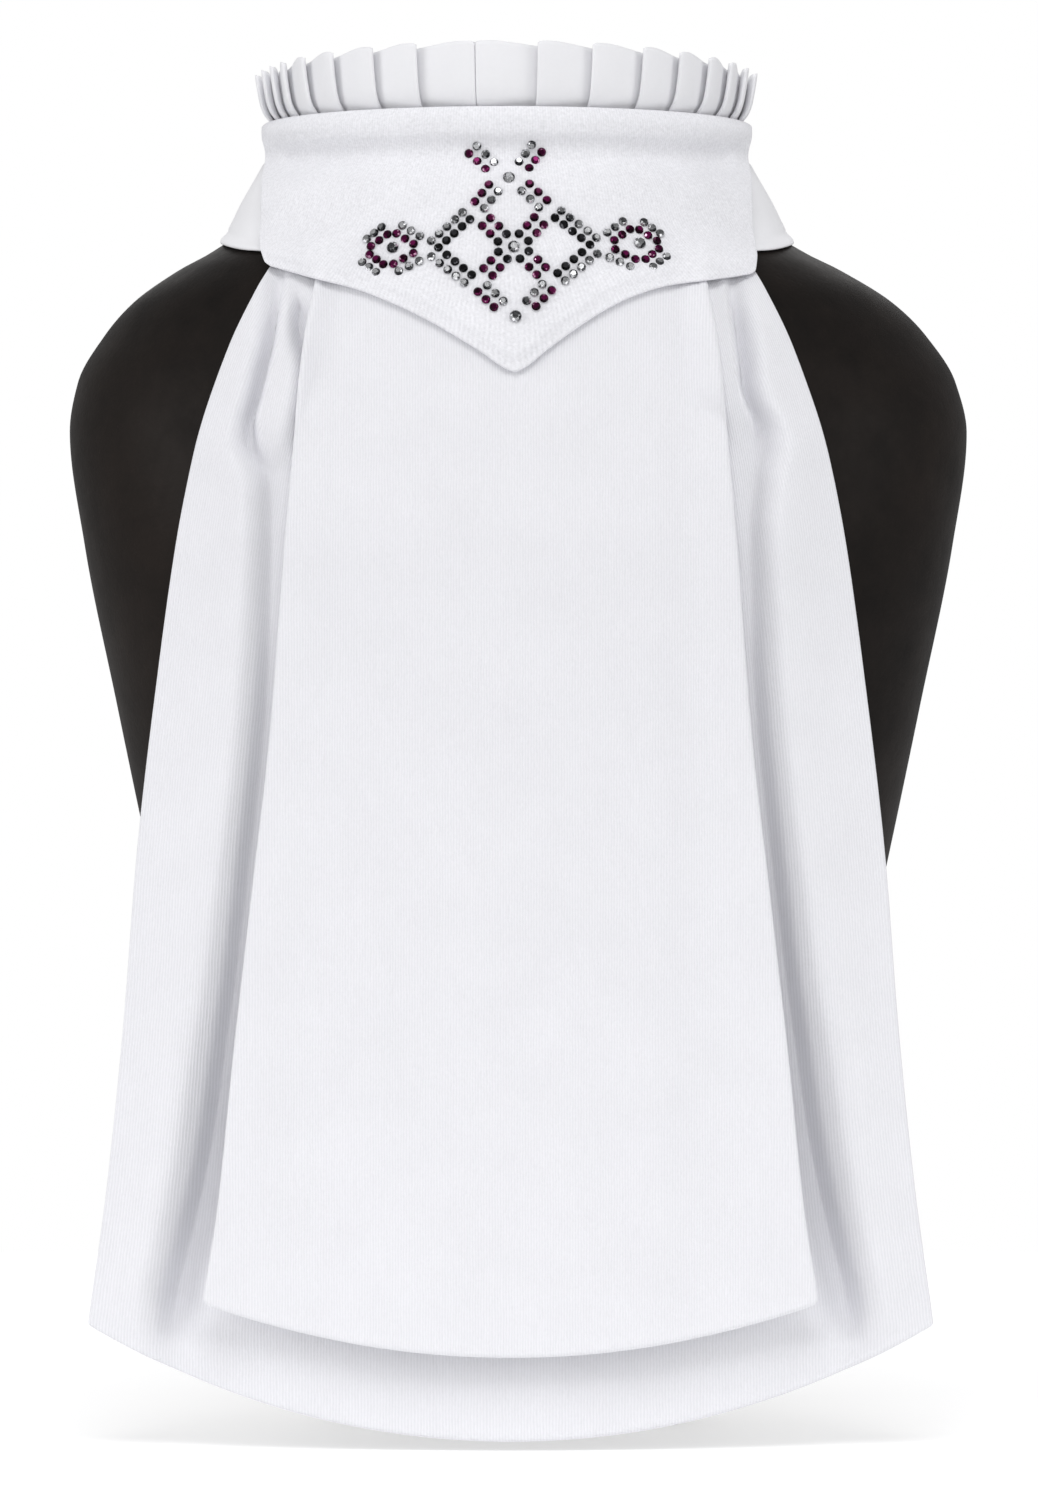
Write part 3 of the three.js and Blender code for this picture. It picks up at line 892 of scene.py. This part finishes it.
def smooth_cloth_material(name, colour):
    """Plain woven cloth: threads over and under each other, too fine to see from afar."""
    paint = Paint(name)
    warp, weft = [(place * (FULL_TURN / THREAD_PITCH)).wave() for place in paint.cloth()]
    weave = warp * weft + (1 - warp) * (1 - weft)
    nap = paint.noise(900, 3.0, 0.65)
    cloud = paint.noise(70, 3.0, 0.55)
    # Painted shade: the base colour is lighter and darker in a checker that follows where the threads cross,
    # besides the random nap and cloud.
    light = (weave * 0.3 + nap * 0.35 + cloud * 0.5).between(0.25, 0.95)
    height = weave * 0.02 + nap * 0.04 + cloud * 0.06
    return paint.finish(
        Base_Color=paint.mix(light, shade(colour, 0.95), shade(colour, 1.02)),
        Roughness=light * -0.15 + 0.8,
        Sheen_Weight=0.15,
        Sheen_Roughness=0.4,
        Normal=paint.bump(height, 0.6),
    )


def hook_tape_material(name, colour):
    """Hook-and-loop tape: a dense field of small hooks on a woven ground."""
    paint = Paint(name)
    inputs = {"Vector": paint.attribute("cloth")["Vector"], "Scale": HOOKS_PER_MM, "Randomness": 0.35}
    cells = paint.node("ShaderNodeTexVoronoi", {"feature": "DISTANCE_TO_EDGE"}, inputs)
    hooks = cells.between(0.05, 0.4)
    nap = paint.noise(2000, 3.0, 0.7)
    # Painted shade: the base colour is darker between the hooks, towards the cells' edges.
    return paint.finish(
        Base_Color=paint.mix(hooks * 0.7 + nap * 0.3, shade(colour, 0.78), shade(colour, 1.04)),
        Roughness=hooks * -0.3 + 0.85,
        Normal=paint.bump(hooks * 0.25 + nap * 0.08, 1.0),
    )


def bust_material(name, colour):
    """A near-black satin shell, mottled as if rubbed by hand, with a finely pebbled surface."""
    paint = Paint(name)
    cloud = paint.noise(16, 5.0, 0.6)
    rubbed = paint.noise(70, 4.0, 0.7)
    pebble = paint.noise(850, 3.0, 0.6)
    lighter = (cloud * 0.65 + rubbed * 0.35).between(0.36, 0.66)
    warm = (colour[0] * 1.9, colour[1] * 1.75, colour[2] * 1.65, 1.0)
    return paint.finish(
        Base_Color=paint.mix(lighter * 0.8 + pebble * 0.2, shade(colour, 0.6), warm),
        Roughness=lighter * -0.14 + pebble * 0.1 + 0.52,
        Specular_IOR_Level=0.09,
        Normal=paint.bump(pebble * 0.12 + rubbed * 0.12, 0.6),
    )


def stone_material(name, painted_shade_colour, bright, painted_glint_colour, metal, gloss):
    """Foil-backed cut glass, with painted light in its base colour: its facets are mixed between a painted
    shade colour and a lighter colour, and the brightest turn to painted white glints.
    """
    paint = Paint(name)
    facet = paint.attribute("facet")["Fac"]
    flaw = paint.noise(2600, 1.0)
    # Painted light: each of the facets' shares, with a little random flaw, mixes a painted shade colour with
    # a lighter colour, and the highest shares turn to painted white glints.
    painted_light_mask = (facet * 0.95 + flaw * 0.3 - 0.15).between(0.1, 0.9) ** 1.5
    painted_glint = facet.between(0.86, 0.98)
    return paint.finish(
        Base_Color=paint.mix(painted_glint, paint.mix(painted_light_mask, painted_shade_colour, bright), shade(painted_glint_colour, 1.0)),
        Metallic=facet * 0.3 + metal,
        Roughness=facet * 0.12 + 0.1,
        Specular_IOR_Level=gloss,
    )


def floor_material(name, colour):
    """A pale floor with hardly any grain, lit a little from within so that it fades into the backdrop."""
    paint = Paint(name)
    grain = paint.noise(9, 2.0)
    return paint.finish(
        Base_Color=paint.mix(grain, shade(colour, 0.995), shade(colour, 1.005)),
        Roughness=grain * 0.1 + 0.85,
        Specular_IOR_Level=0.1,
        Emission_Color=(1.0, 1.0, 1.0, 1.0),
        Emission_Strength=0.58,
    )


# Settings that a user would change

def length_property(name, description, millimetres):
    length = millimetres * MM
    return FloatProperty(name=name, description=description, default=length, unit="LENGTH", precision=5)


def colour_property(name, description, colour):
    settings = {"default": colour, "subtype": "COLOR", "size": 4, "min": 0, "max": 1}
    return FloatVectorProperty(name=name, description=description, **settings)


def power_property(name, description, watts):
    return FloatProperty(name=name, description=description, default=watts, min=0, unit="POWER")


class StockTieSizes(bpy.types.PropertyGroup):
    bib_thickness: length_property("Bib thickness", "Thickness of the bibs' doubled knit", 1.5)
    hem_thickness: length_property("Hem thickness", "Thickness of the bibs' turned edges", 2.1)
    frill_thickness: length_property("Frill thickness", "Thickness of the frill's cloth", 0.42)
    band_thickness: length_property("Band thickness", "Thickness of the neck bands", 1.5)
    pleat_drop: length_property("Pleat drop", "How much lower a pleat's deep end is than its fold", 1.7)
    rib_pitch: length_property("Rib pitch", "Distance between two ribs of the knit", 0.7)
    small_stone: length_property("Small stone", "Diameter of the small set stones", 2.35)
    large_stone: length_property("Large stone", "Diameter of the larger set stones", 3.1)


class StockTieColours(bpy.types.PropertyGroup):
    knit: colour_property("Knit", "Colour of the collar and the bibs", (0.80, 0.80, 0.835, 1))
    smooth_cloth: colour_property("Smooth cloth", "Colour of the frill and the bands", (0.83, 0.83, 0.855, 1))
    hook_tape: colour_property("Hook tape", "Colour of the fastening patch", (0.76, 0.76, 0.78, 1))
    bust: colour_property("Bust", "Colour of the neck bust", (0.0085, 0.0068, 0.006, 1))
    # Each stone colour is that of its lightest facets; the other facets are painted shade and light.
    plum: colour_property("Plum stones", "Colour of the plum stones' bright facets", (0.17, 0.009, 0.085, 1))
    jet: colour_property("Jet stones", "Colour of the jet stones' bright facets", (0.022, 0.022, 0.026, 1))
    clear: colour_property("Clear stones", "Colour of the clear stones' bright facets", (0.9, 0.91, 0.93, 1))
    floor: colour_property("Floor", "Colour of the pale floor", (0.62, 0.62, 0.625, 1))


class StockTieStage(bpy.types.PropertyGroup):
    surround: FloatProperty(name="Surround", description="Light from all round", default=0.40, min=0)
    side_power: power_property("Side lights", "Power of each soft light at the side", 15)
    front_power: power_property("Front light", "Power of the soft light high in front", 23.5)
    back_power: power_property("Back light", "Power of the soft light behind", 8)
    camera_distance: FloatProperty(
        name="Camera distance", description="From the neck's axis", default=2.0, min=0.5, unit="LENGTH"
    )


def user_settings():
    """The sizes, the colours and the stage as the user has set them."""
    scene = bpy.context.scene
    return scene.stock_tie_sizes, scene.stock_tie_colours, scene.stock_tie_stage


# The pieces' operators

class STOCKTIE_OT_bust(bpy.types.Operator):
    """Makes the neck bust that holds the tie"""

    bl_idname = "stocktie.make_bust"
    bl_label = "Neck Bust"

    def execute(self, context):
        _, colours, _ = user_settings()
        rim_round = NECK_RIM_ROUND * np.sin(np.radians([20, 45, 65, 80, 90]))
        parts = [
            stations(3, 1.2, True, False),
            np.linspace(3, 250, 84)[1:],
            np.linspace(250, NECK_RIM, 70)[1:],
            NECK_RIM + rim_round,
        ]
        heights = np.concatenate(parts)
        angles = np.linspace(0, 360, 160, endpoint=False)
        rings = neck_point(heights[:, None], angles[None, :])
        # The rim is rounded, so each of its rings is pulled in by a share of its rise.
        inset = 0.3 * np.clip(heights - NECK_RIM, 0, None)[:, None]
        rings[..., 0] -= np.sin(np.radians(angles)) * inset
        rings[..., 1] += np.cos(np.radians(angles)) * inset
        rows, columns, _ = rings.shape
        points = rings.reshape(-1, 3)
        number = np.arange(rows * columns).reshape(rows, columns)
        beside = np.roll(number, -1, axis=1)
        faces = np.stack([number[:-1], beside[:-1], beside[1:], number[1:]], -1).reshape(-1, 4)
        caps = [list(number[0][::-1]), list(number[-1])]
        bust = add_mesh("bust_shell", points, list(faces) + caps, bust_material("satin_shell", colours.bust))
        for polygon in bust.data.polygons[-2:]:
            polygon.use_smooth = False
        belongs(bust, "bust_shell", "neck_bust")
        return {"FINISHED"}


def bib_grid(half_width, cut):
    """A bib's grid in the front view: x, z, and how far the nearest side edge or the hem is."""
    hem_half, top_half = cut["hem_half"], cut["top_half"]
    across = refined(stations(2 * hem_half, 1.5), *cut["fine"])
    down = stations(BIB_LENGTH, 1.4, edge_low=False)
    left_gap, right_gap, _, hem_gap = flat_grid(across, down)
    side_gap = np.minimum(left_gap, right_gap)
    new_side, new_hem = round_corner(side_gap, hem_gap, cut["corner"])
    share = share_across(new_side, left_gap, right_gap)
    top_x = share * top_half
    under_collar = cut["under_collar"] * (1 - smooth_step(48, top_half, np.abs(top_x)))
    top = collar_lower_edge(top_x) + under_collar + 1
    hem = cut["hem"] + cut["hem_radius"] - np.sqrt(cut["hem_radius"] ** 2 - (share * hem_half) ** 2)
    z = lerp(top, hem, 1 - new_hem / BIB_LENGTH)
    edge = np.minimum(side_gap * half_width(z) / hem_half, hem_gap * (top - hem) / BIB_LENGTH)
    return share * half_width(z), z, edge


def bib(name, node, grid, depth, cloth_across, material, sizes):
    """One bib: a doubled cloth with a soft turned edge."""
    x, z, edge = grid
    body, hem = sizes.bib_thickness / MM / 2, sizes.hem_thickness / MM / 2
    half = lerp(body, hem, bell(edge - 1.0, 1.5)) * edge_profile(edge, hem)
    small = 0.05
    slope_x = (depth(x + small, z) - depth(x - small, z)) / (2 * small)
    slope_z = (depth(x, z + small) - depth(x, z - small)) / (2 * small)
    normal = np.stack([-slope_x, -np.ones_like(x), -slope_z], -1)
    normal /= np.linalg.norm(normal, axis=-1, keepdims=True)
    middle = np.stack([x, -depth(x, z), z], -1)
    return belongs(cloth_shell(name, middle, half, normal, (cloth_across, z), material), "knit", node)


class STOCKTIE_OT_bibs(bpy.types.Operator):
    """Makes the wide under bib and the front bib that hangs over it"""

    bl_idname = "stocktie.make_bibs"
    bl_label = "Bibs"

    def execute(self, context):
        sizes, colours, _ = user_settings()
        knit = knit_material("bib_knit", colours.knit, sizes.rib_pitch / MM, 0.15)
        grid = bib_grid(under_half_width, UNDER_CUT)
        across = grid[0] / under_half_width(grid[1]) * UNDER_CLOTH_HALF
        under = bib("under_bib_cloth", "under_bib", grid, under_bib_depth, across, knit, sizes)
        grid = bib_grid(front_half_width, FRONT_CUT)
        front = bib("front_bib_cloth", "front_bib", grid, front_bib_depth, grid[0], knit, sizes)
        area = flat_area(under_half_width, 16, 302)
        area = flat_area(front_half_width, 32, 292)
        return {"FINISHED"}


def collar_grid():
    """The collar's grid: column from -1 to 1, height, foot, and how far the nearest edge and the lower
    edge are."""
    grid = flat_grid(stations(COLLAR_WIDE, 0.9), stations(COLLAR_TALL, 0.72))
    left_gap, right_gap, low_gap, high_gap = grid
    side_gap = np.minimum(left_gap, right_gap)
    new_side, up_place = round_ends(side_gap, low_gap, high_gap, 3.4, 1.6)
    column = share_across(new_side, left_gap, right_gap)
    foot = collar_column_foot(column)
    scale = (COLLAR_TOP - foot) / COLLAR_TALL
    edge = np.minimum(side_gap, np.minimum(low_gap, high_gap) * scale)
    return column, foot + up_place * scale, foot, edge, low_gap * scale


class STOCKTIE_OT_collar(bpy.types.Operator):
    """Makes the padded collar that wraps the front of the neck and ends in a point"""

    bl_idname = "stocktie.make_collar"
    bl_label = "Collar"

    def execute(self, context):
        sizes, colours, _ = user_settings()
        column, z, foot, edge, low_gap = collar_grid()
        angle = column * collar_edge_angle(z)
        lining = collar_lining(z, column, foot)
        # The face curls in at the lower edge, with a low seam ridge just above it.
        rim = 0.35 * bell(low_gap - 4.5, 2.6) - 0.2 * bell(low_gap - 11, 3.5)
        outer = collar_outer(z, column) + rim - 1.8 * (1 - smooth_step(0, 5.5, low_gap))
        outer = smooth_max(outer, lining + 1.3, 0.8)
        middle, half = (outer + lining) / 2, (outer - lining) / 2
        half = half * edge_profile(edge, half)
        # Painted light: the collar's knit is a lighter copy of the bibs' knit.
        knit = knit_material("collar_knit", shade(colours.knit, 1.03), sizes.rib_pitch / MM, 1.0)
        across = np.radians(angle) * COLLAR_CLOTH_RADIUS
        piece = neck_shell("collar_pad", z, angle, middle, half, across, knit)
        belongs(piece, "knit", "collar")
        return {"FINISHED"}


def spline(points, steps):
    """A smooth line through points, with a number of steps between each two."""
    points = np.asarray(points, float)
    padded = np.concatenate([[2 * points[0] - points[1]], points, [2 * points[-1] - points[-2]]])
    t = (np.arange(steps) / steps)[:, None]
    spans = []
    for a, b, c, d in zip(padded[:-3], padded[1:-2], padded[2:-1], padded[3:]):
        curved = (2 * a - 5 * b + 4 * c - d) * t**2 + (3 * b - a - 3 * c + d) * t**3
        spans.append(b + 0.5 * ((c - a) * t + curved))
    return np.concatenate([*spans, points[-1:]])


def pleated_half(folds):
    """One half of the frill from the slit on, as rows of angle, level and corner."""
    path = [(folds[0] + 0.10, 0.35, 0), (folds[0] + 0.22, 0.68, 0.3)]
    for start, end in zip(folds[:-1], folds[1:]):
        under = min(FOLD_SHARE * (end - start), FOLD_WIDEST)
        for places, first, wide in ((PLEAT_FACE, start, end - start), (PLEAT_FOLD, end, under)):
            path += [(first + more + share * wide, level, corner) for share, more, level, corner in places]
    return path[:-len(PLEAT_FOLD)]


class STOCKTIE_OT_frill(bpy.types.Operator):
    """Makes the frill of knife pleats that stands above the collar"""

    bl_idname = "stocktie.make_frill"
    bl_label = "Frill"

    def execute(self, context):
        sizes, colours, _ = user_settings()
        left_folds = [SLIT_ANGLE - angle for angle in PLEATS_LEFT]
        right_folds = [angle - SLIT_ANGLE for angle in PLEATS_RIGHT]
        left = [(SLIT_ANGLE - a, level, corner) for a, level, corner in pleated_half(left_folds)]
        right = [(SLIT_ANGLE + a, level, corner) for a, level, corner in pleated_half(right_folds)]
        line = spline(left[::-1] + [(SLIT_ANGLE, 0.24, 0)] + right, 4)
        angle, level, corner = line[:, 0], line[:, 1], line[:, 2]
        top = lerp(FRILL_TOP_SIDES, FRILL_TOP_FRONT, np.cos(np.radians(angle)))
        sunk = np.clip(1 - level, 0, 1) ** 1.3
        top = top - sizes.pleat_drop / MM * sunk - 0.55 * np.clip(corner, 0, 1)
        foot = FRILL_RISE["z"][0]
        up = np.concatenate([np.linspace(0, 0.3, 9), np.linspace(0.3, 1, 15)[1:], [1.0]])
        z = foot + up[:, None] * (top - foot)[None, :]
        offset, depth = curves(FRILL_RISE)
        standing = offset(z) + depth(z) * (level[None, :] - 0.5)
        grid = neck_point(FRILL_SECTION, angle, standing)
        grid[..., 2] = z
        normal = np.cross(np.gradient(grid, axis=1), np.gradient(grid, axis=0))
        normal /= np.maximum(np.linalg.norm(normal, axis=-1, keepdims=True), 1e-9)
        # The half thickness is nothing at the shell's ends, foot and top.
        half = np.zeros(z.shape)
        half[1:-1, 1:-1] = sizes.frill_thickness / MM / 2
        steps = np.linalg.norm(np.diff(grid[len(up) // 2], axis=0), axis=1)
        run = np.concatenate([[0], np.cumsum(steps)])
        cloth = smooth_cloth_material("frill_cloth", colours.smooth_cloth)
        piece = cloth_shell("frill_pleats", grid, half, normal, (run, z), cloth)
        belongs(piece, "smooth_cloth", "frill")
        length = float(run[-1]) * MM
        return {"FINISHED"}


def band_piece(name, node, side, lift, sizes, material):
    """A neck band from behind the collar's end round to the back. Its side is 1 towards +X."""
    low, high = curves(BAND)
    grid = flat_grid(stations(BAND_WIDE, 1.3), stations(BAND_TALL, 0.9))
    _, end_gap, low_gap, high_gap = grid
    new_end, up_place = round_ends(end_gap, low_gap, high_gap, 3.0, 3.0)
    share = 1 - new_end / BAND_WIDE
    rough = lerp(50, BAND_END_ANGLE, share)
    z = lerp(low(rough), high(rough), up_place / BAND_TALL)
    angle = lerp(collar_edge_angle(z) - 4, BAND_END_ANGLE, share)
    lifted = lift * smooth_step(148, 164, angle)
    # A rolled hem along the foot, which lies closer to the neck at the front.
    half = sizes.band_thickness / MM / 2
    roll = 0.3 * bell(low_gap - 1.2, 1.1) - 0.3 * bell(low_gap - 3.2, 0.5)
    raised = np.clip(roll, 0, 1)
    thick = (half + roll) * edge_profile(np.minimum.reduce(grid), half + raised)
    close = 0.75 * bell(low_gap, 3.2) * smooth_step(140, 110, angle)
    stand = 0.95 + half + lifted + raised - close
    across = np.radians(angle) * BAND_CLOTH_RADIUS
    piece = neck_shell(name, z, side * angle, stand, thick, across, material)
    return belongs(piece, "smooth_cloth", node)


def patch_piece(name, node, material):
    """The fastening patch at the back of the neck, between the two bands."""
    grid = flat_grid(stations(PATCH_WIDE, 1), stations(PATCH_TALL, 1))
    left_gap, right_gap, low_gap, high_gap = grid
    side_gap = np.minimum(left_gap, right_gap)
    new_side, up_place = round_ends(side_gap, low_gap, high_gap, 2.0, 2.0)
    share = share_across(new_side, left_gap, right_gap)
    half = PATCH_HALF_THICKNESS * edge_profile(np.minimum.reduce(grid), PATCH_HALF_THICKNESS)
    angle, across = 180 + share * PATCH_HALF_ANGLE, share * PATCH_WIDE / 2
    piece = neck_shell(name, PATCH_LOW + up_place, angle, PATCH_STAND, half, across, material)
    return belongs(piece, "hook_tape", node)


class STOCKTIE_OT_bands(bpy.types.Operator):
    """Makes the two neck bands and the fastening patch between them at the back"""

    bl_idname = "stocktie.make_bands"
    bl_label = "Neck Bands"

    def execute(self, context):
        sizes, colours, _ = user_settings()
        cloth = smooth_cloth_material("band_cloth", colours.smooth_cloth)
        right = band_piece("band_right", "neck_band_right", 1, 0, sizes, cloth)
        left = band_piece("band_left", "neck_band_left", -1, BAND_LAP, sizes, cloth)
        tape = hook_tape_material("hook_tape", colours.hook_tape)
        patch = patch_piece("hook_patch", "fastening_patch", tape)
        return {"FINISHED"}


def brilliant(radius, height, rng):
    """A flat-backed round brilliant: its points, its faces, and the share of painted light on each of its
    facets.
    """
    def ring(count, share, level, turn):
        angles = np.radians(turn + np.arange(count) * 360 / count)
        reach = radius * share
        flat = np.full(count, level * height)
        return np.stack([reach * np.cos(angles), reach * np.sin(angles), flat], -1)

    rings = [ring(16, 0.97, 0, 0), ring(16, 1, 0.22, 0), ring(8, 0.8, 0.7, 22.5), ring(8, 0.55, 1, 0)]
    points = np.concatenate(rings)
    back, girdle, star, top = 0, 16, 32, 40
    faces = [list(range(16))[::-1], list(range(top, top + 8))]
    # Painted light and shade: the back gets a fixed share and the table a random one, the girdle's wall is
    # painted darkest, and the crown's facets are lighter where they face a random turn, as if the light came
    # from there.
    bright = [0.2, rng.uniform(0.2, 0.85)]
    painted_light_turn = rng.uniform(0, FULL_TURN)
    for j in range(16):
        k = (j + 1) % 16
        faces.append([back + j, back + k, girdle + k, girdle + j])
        bright.append(0.08)
    for i in range(8):
        k = (i + 1) % 8
        left, middle, right = girdle + 2 * i, girdle + 2 * i + 1, girdle + (2 * i + 2) % 16
        faces += [
            [top + i, star + i, top + k],
            [star + i, top + i, star + (i - 1) % 8, left],
            [star + i, left, middle],
            [star + i, middle, right],
        ]
        facing = 0.5 + 0.5 * math.cos((i + 0.5) * math.pi / 4 - painted_light_turn)
        bright += list(np.clip(facing * 0.8 + rng.uniform(-0.4, 0.3, 4), 0, 1))
    return points, faces, bright


def stone_places():
    """Every small stone's colour and place on the collar in the front view."""
    places = []
    for side in (-1, 1):
        for colour, x, z, step_x, step_z, count in SIDE_ROWS:
            for i in range(count):
                places.append((colour, side * (x + i * step_x), z + i * step_z))
        for colour, x, z, step_x, step_z, count in RING_ROWS:
            for i in range(count):
                places.append((colour, side * (RING_X + x + i * step_x), RING_Z + z + i * step_z))
    ring = MIDDLE_RING
    for i in range(ring["count"]):
        turn = math.radians((i + 0.5) * 360 / ring["count"])
        x = ring["x"] + ring["across"] * math.cos(turn)
        places.append(("jet", x, ring["z"] + ring["up"] * math.sin(turn)))
    leaning = []
    for colour, x, z in places:
        lean = -0.05 * z - 0.00175 * z * z if z > 0 else -0.012 * z
        leaning.append((colour, ORNAMENT_X + x + lean, ORNAMENT_Z + z + 0.02 * x))
    return leaning


def collar_place(x, z):
    """The point on the collar's face at a place of the front view, and the way it faces."""
    def face_at(across, height):
        def reach(angle):
            column = angle / collar_edge_angle(height)
            return neck_point(height, angle, collar_outer(height, column))[..., 0]

        angle = solve(reach, across, -COLLAR_WIDEST_ANGLE, COLLAR_WIDEST_ANGLE)
        column = angle / collar_edge_angle(height)
        return neck_point(height, angle, collar_outer(height, column))

    x, z = np.asarray(x, float), np.asarray(z, float)
    right = face_at(x + 1, z) - face_at(x - 1, z)
    up = face_at(x, z + 1) - face_at(x, z - 1)
    normal = np.cross(right, up)
    return face_at(x, z), normal / np.linalg.norm(normal, axis=-1, keepdims=True)


def set_stone(radius, height, place, facing, rng):
    """A stone that is cut, turned about its own axis and set on the collar."""
    points, faces, bright = brilliant(radius, height, rng)
    turn = rng.uniform(0, math.pi)
    upward = Vector((0, 0, 1)).rotation_difference(Vector(facing)).to_matrix()
    spin = np.array([[math.cos(turn), -math.sin(turn), 0], [math.sin(turn), math.cos(turn), 0], [0, 0, 1]])
    points = points @ spin.T @ np.array(upward).T + np.asarray(place) + np.asarray(facing) * STONE_STAND
    return points, faces, bright


def stone_piece(name, stones, material):
    """One mesh of stones, each a list of points, faces and facets' brightness."""
    points, faces, bright = [], [], []
    for stone_points, stone_faces, stone_painted_light in stones:
        start = len(points)
        points += list(stone_points)
        faces += [[start + i for i in face] for face in stone_faces]
        bright += list(stone_painted_light)
    piece = add_mesh(name, points, faces, material, smooth=False)
    # Each face keeps its share of painted light, for the stones' material.
    attribute = piece.data.attributes.new("facet", "FLOAT", "FACE")
    attribute.data.foreach_set("value", np.asarray(bright, np.float32))
    return piece


class STOCKTIE_OT_stones(bpy.types.Operator):
    """Sets the stones on the collar: rows and rings of small ones, and five larger ones"""

    bl_idname = "stocktie.set_stones"
    bl_label = "Set Stones"

    def execute(self, context):
        sizes, colours, _ = user_settings()
        rng = np.random.default_rng(7)
        finishes = {
            name: stone_material(f"{name}_stone", painted_shade_colour, tuple(getattr(colours, name)), painted_glint, metal, gloss)
            for name, painted_shade_colour, painted_glint, metal, gloss in STONE_FINISHES
        }
        places = stone_places()
        spots, facings = collar_place([x for _, x, _ in places], [z for _, _, z in places])
        small, large = sizes.small_stone / MM / 2, sizes.large_stone / MM / 2
        groups = {name: [] for name in finishes}
        for (colour, _, _), spot, facing in zip(places, spots, facings):
            groups[colour].append(set_stone(small, SMALL_STONE_HEIGHT, spot, facing, rng))
        for colour, stones in groups.items():
            belongs(stone_piece(f"stones_{colour}", stones, finishes[colour]), "crystal")
        for node in LARGE_STONES:
            low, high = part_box(node)
            middle = (low + high) / 2 / MM
            spot, facing = collar_place(middle.x, middle.z)
            stone = set_stone(large, LARGE_STONE_HEIGHT, spot, facing, rng)
            belongs(stone_piece(f"{node}_cut", [stone], finishes["clear"]), "crystal", node)
        return {"FINISHED"}


def soft_light(name, place, size, power):
    """A large square light that shines at the object."""
    lamp = bpy.data.lights.new(name, "AREA")
    lamp.shape = "SQUARE"
    lamp.size = size
    lamp.energy = power
    light = bpy.data.objects.new(name, lamp)
    light.location = place
    light.rotation_mode = "QUATERNION"
    light.rotation_quaternion = (Vector(LIGHT_AIM) - Vector(place)).to_track_quat("-Z", "Y")
    bpy.context.scene.collection.objects.link(light)


def studio_world(strength):
    """Soft light from all round, in front of a backdrop that the camera sees as plain white."""
    world = bpy.data.worlds.new("studio")
    world.use_nodes = True
    nodes, links = world.node_tree.nodes, world.node_tree.links
    nodes.clear()
    seen = nodes.new("ShaderNodeLightPath")
    mix = nodes.new("ShaderNodeMixShader")
    links.new(seen.outputs["Is Camera Ray"], mix.inputs[0])
    for socket, light in ((1, strength), (2, 1.0)):
        background = nodes.new("ShaderNodeBackground")
        background.inputs["Color"].default_value = (1, 1, 1, 1)
        background.inputs["Strength"].default_value = light
        links.new(background.outputs[0], mix.inputs[socket])
    links.new(mix.outputs[0], nodes.new("ShaderNodeOutputWorld").inputs["Surface"])
    return world


def level_camera(distance):
    """The camera in front of the object, which looks straight ahead. Its lens is in millimetres."""
    lens = bpy.data.cameras.new("camera")
    lens.lens = CAMERA_LENS
    lens.sensor_width = 36
    lens.sensor_fit = "AUTO"
    lens.clip_start, lens.clip_end = 0.05, 60
    camera = bpy.data.objects.new("camera", lens)
    camera.location = (CAMERA_X, -distance, CAMERA_Z)
    camera.rotation_euler = (math.pi / 2, 0, 0)
    bpy.context.scene.collection.objects.link(camera)
    return camera


class STOCKTIE_OT_stage(bpy.types.Operator):
    """Makes the pale floor, the soft lights and the camera"""

    bl_idname = "stocktie.make_stage"
    bl_label = "Stage"

    def execute(self, context):
        _, colours, stage = user_settings()
        scene = context.scene
        angles = np.linspace(0, FULL_TURN, FLOOR_CORNERS, endpoint=False)
        rim = np.stack([FLOOR_RADIUS * np.cos(angles), FLOOR_RADIUS * np.sin(angles), 0 * angles], -1)
        material = floor_material("pale_floor", colours.floor)
        add_mesh("floor", rim, [list(range(FLOOR_CORNERS))], material)
        for name, place, size, power, share in LIGHTS:
            soft_light(name, place, size, getattr(stage, power) * share)
        scene.world = studio_world(stage.surround)
        scene.camera = level_camera(stage.camera_distance)
        scene.view_settings.view_transform = "Standard"
        return {"FINISHED"}


class STOCKTIE_PT_panel(bpy.types.Panel):
    """Lists the pieces that can be made, with their sizes and colours"""

    bl_idname = "STOCKTIE_PT_panel"
    bl_label = "Stock Tie"
    bl_space_type = "VIEW_3D"
    bl_region_type = "UI"
    bl_category = "Stock Tie"

    def draw(self, context):
        layout = self.layout
        for operator in OPERATORS:
            layout.operator(operator.bl_idname)
        for group in user_settings():
            box = layout.box()
            for name in group.__annotations__:
                box.prop(group, name)


OPERATORS = (
    STOCKTIE_OT_bust,
    STOCKTIE_OT_bibs,
    STOCKTIE_OT_collar,
    STOCKTIE_OT_frill,
    STOCKTIE_OT_bands,
    STOCKTIE_OT_stones,
    STOCKTIE_OT_stage,
)
GROUPS = (StockTieSizes, StockTieColours, StockTieStage)


def register():
    for kind in (*GROUPS, *OPERATORS, STOCKTIE_PT_panel):
        bpy.utils.register_class(kind)
    bpy.types.Scene.stock_tie_sizes = PointerProperty(type=StockTieSizes)
    bpy.types.Scene.stock_tie_colours = PointerProperty(type=StockTieColours)
    bpy.types.Scene.stock_tie_stage = PointerProperty(type=StockTieStage)


def unregister():
    del bpy.types.Scene.stock_tie_stage
    del bpy.types.Scene.stock_tie_colours
    del bpy.types.Scene.stock_tie_sizes
    for kind in reversed((*GROUPS, *OPERATORS, STOCKTIE_PT_panel)):
        bpy.utils.unregister_class(kind)


def main():
    register()
    bpy.ops.stocktie.make_bust()
    bpy.ops.stocktie.make_bibs()
    bpy.ops.stocktie.make_bands()
    bpy.ops.stocktie.make_collar()
    bpy.ops.stocktie.make_frill()
    bpy.ops.stocktie.set_stones()
    bpy.ops.stocktie.make_stage()


if __name__ == "__main__":
    main()
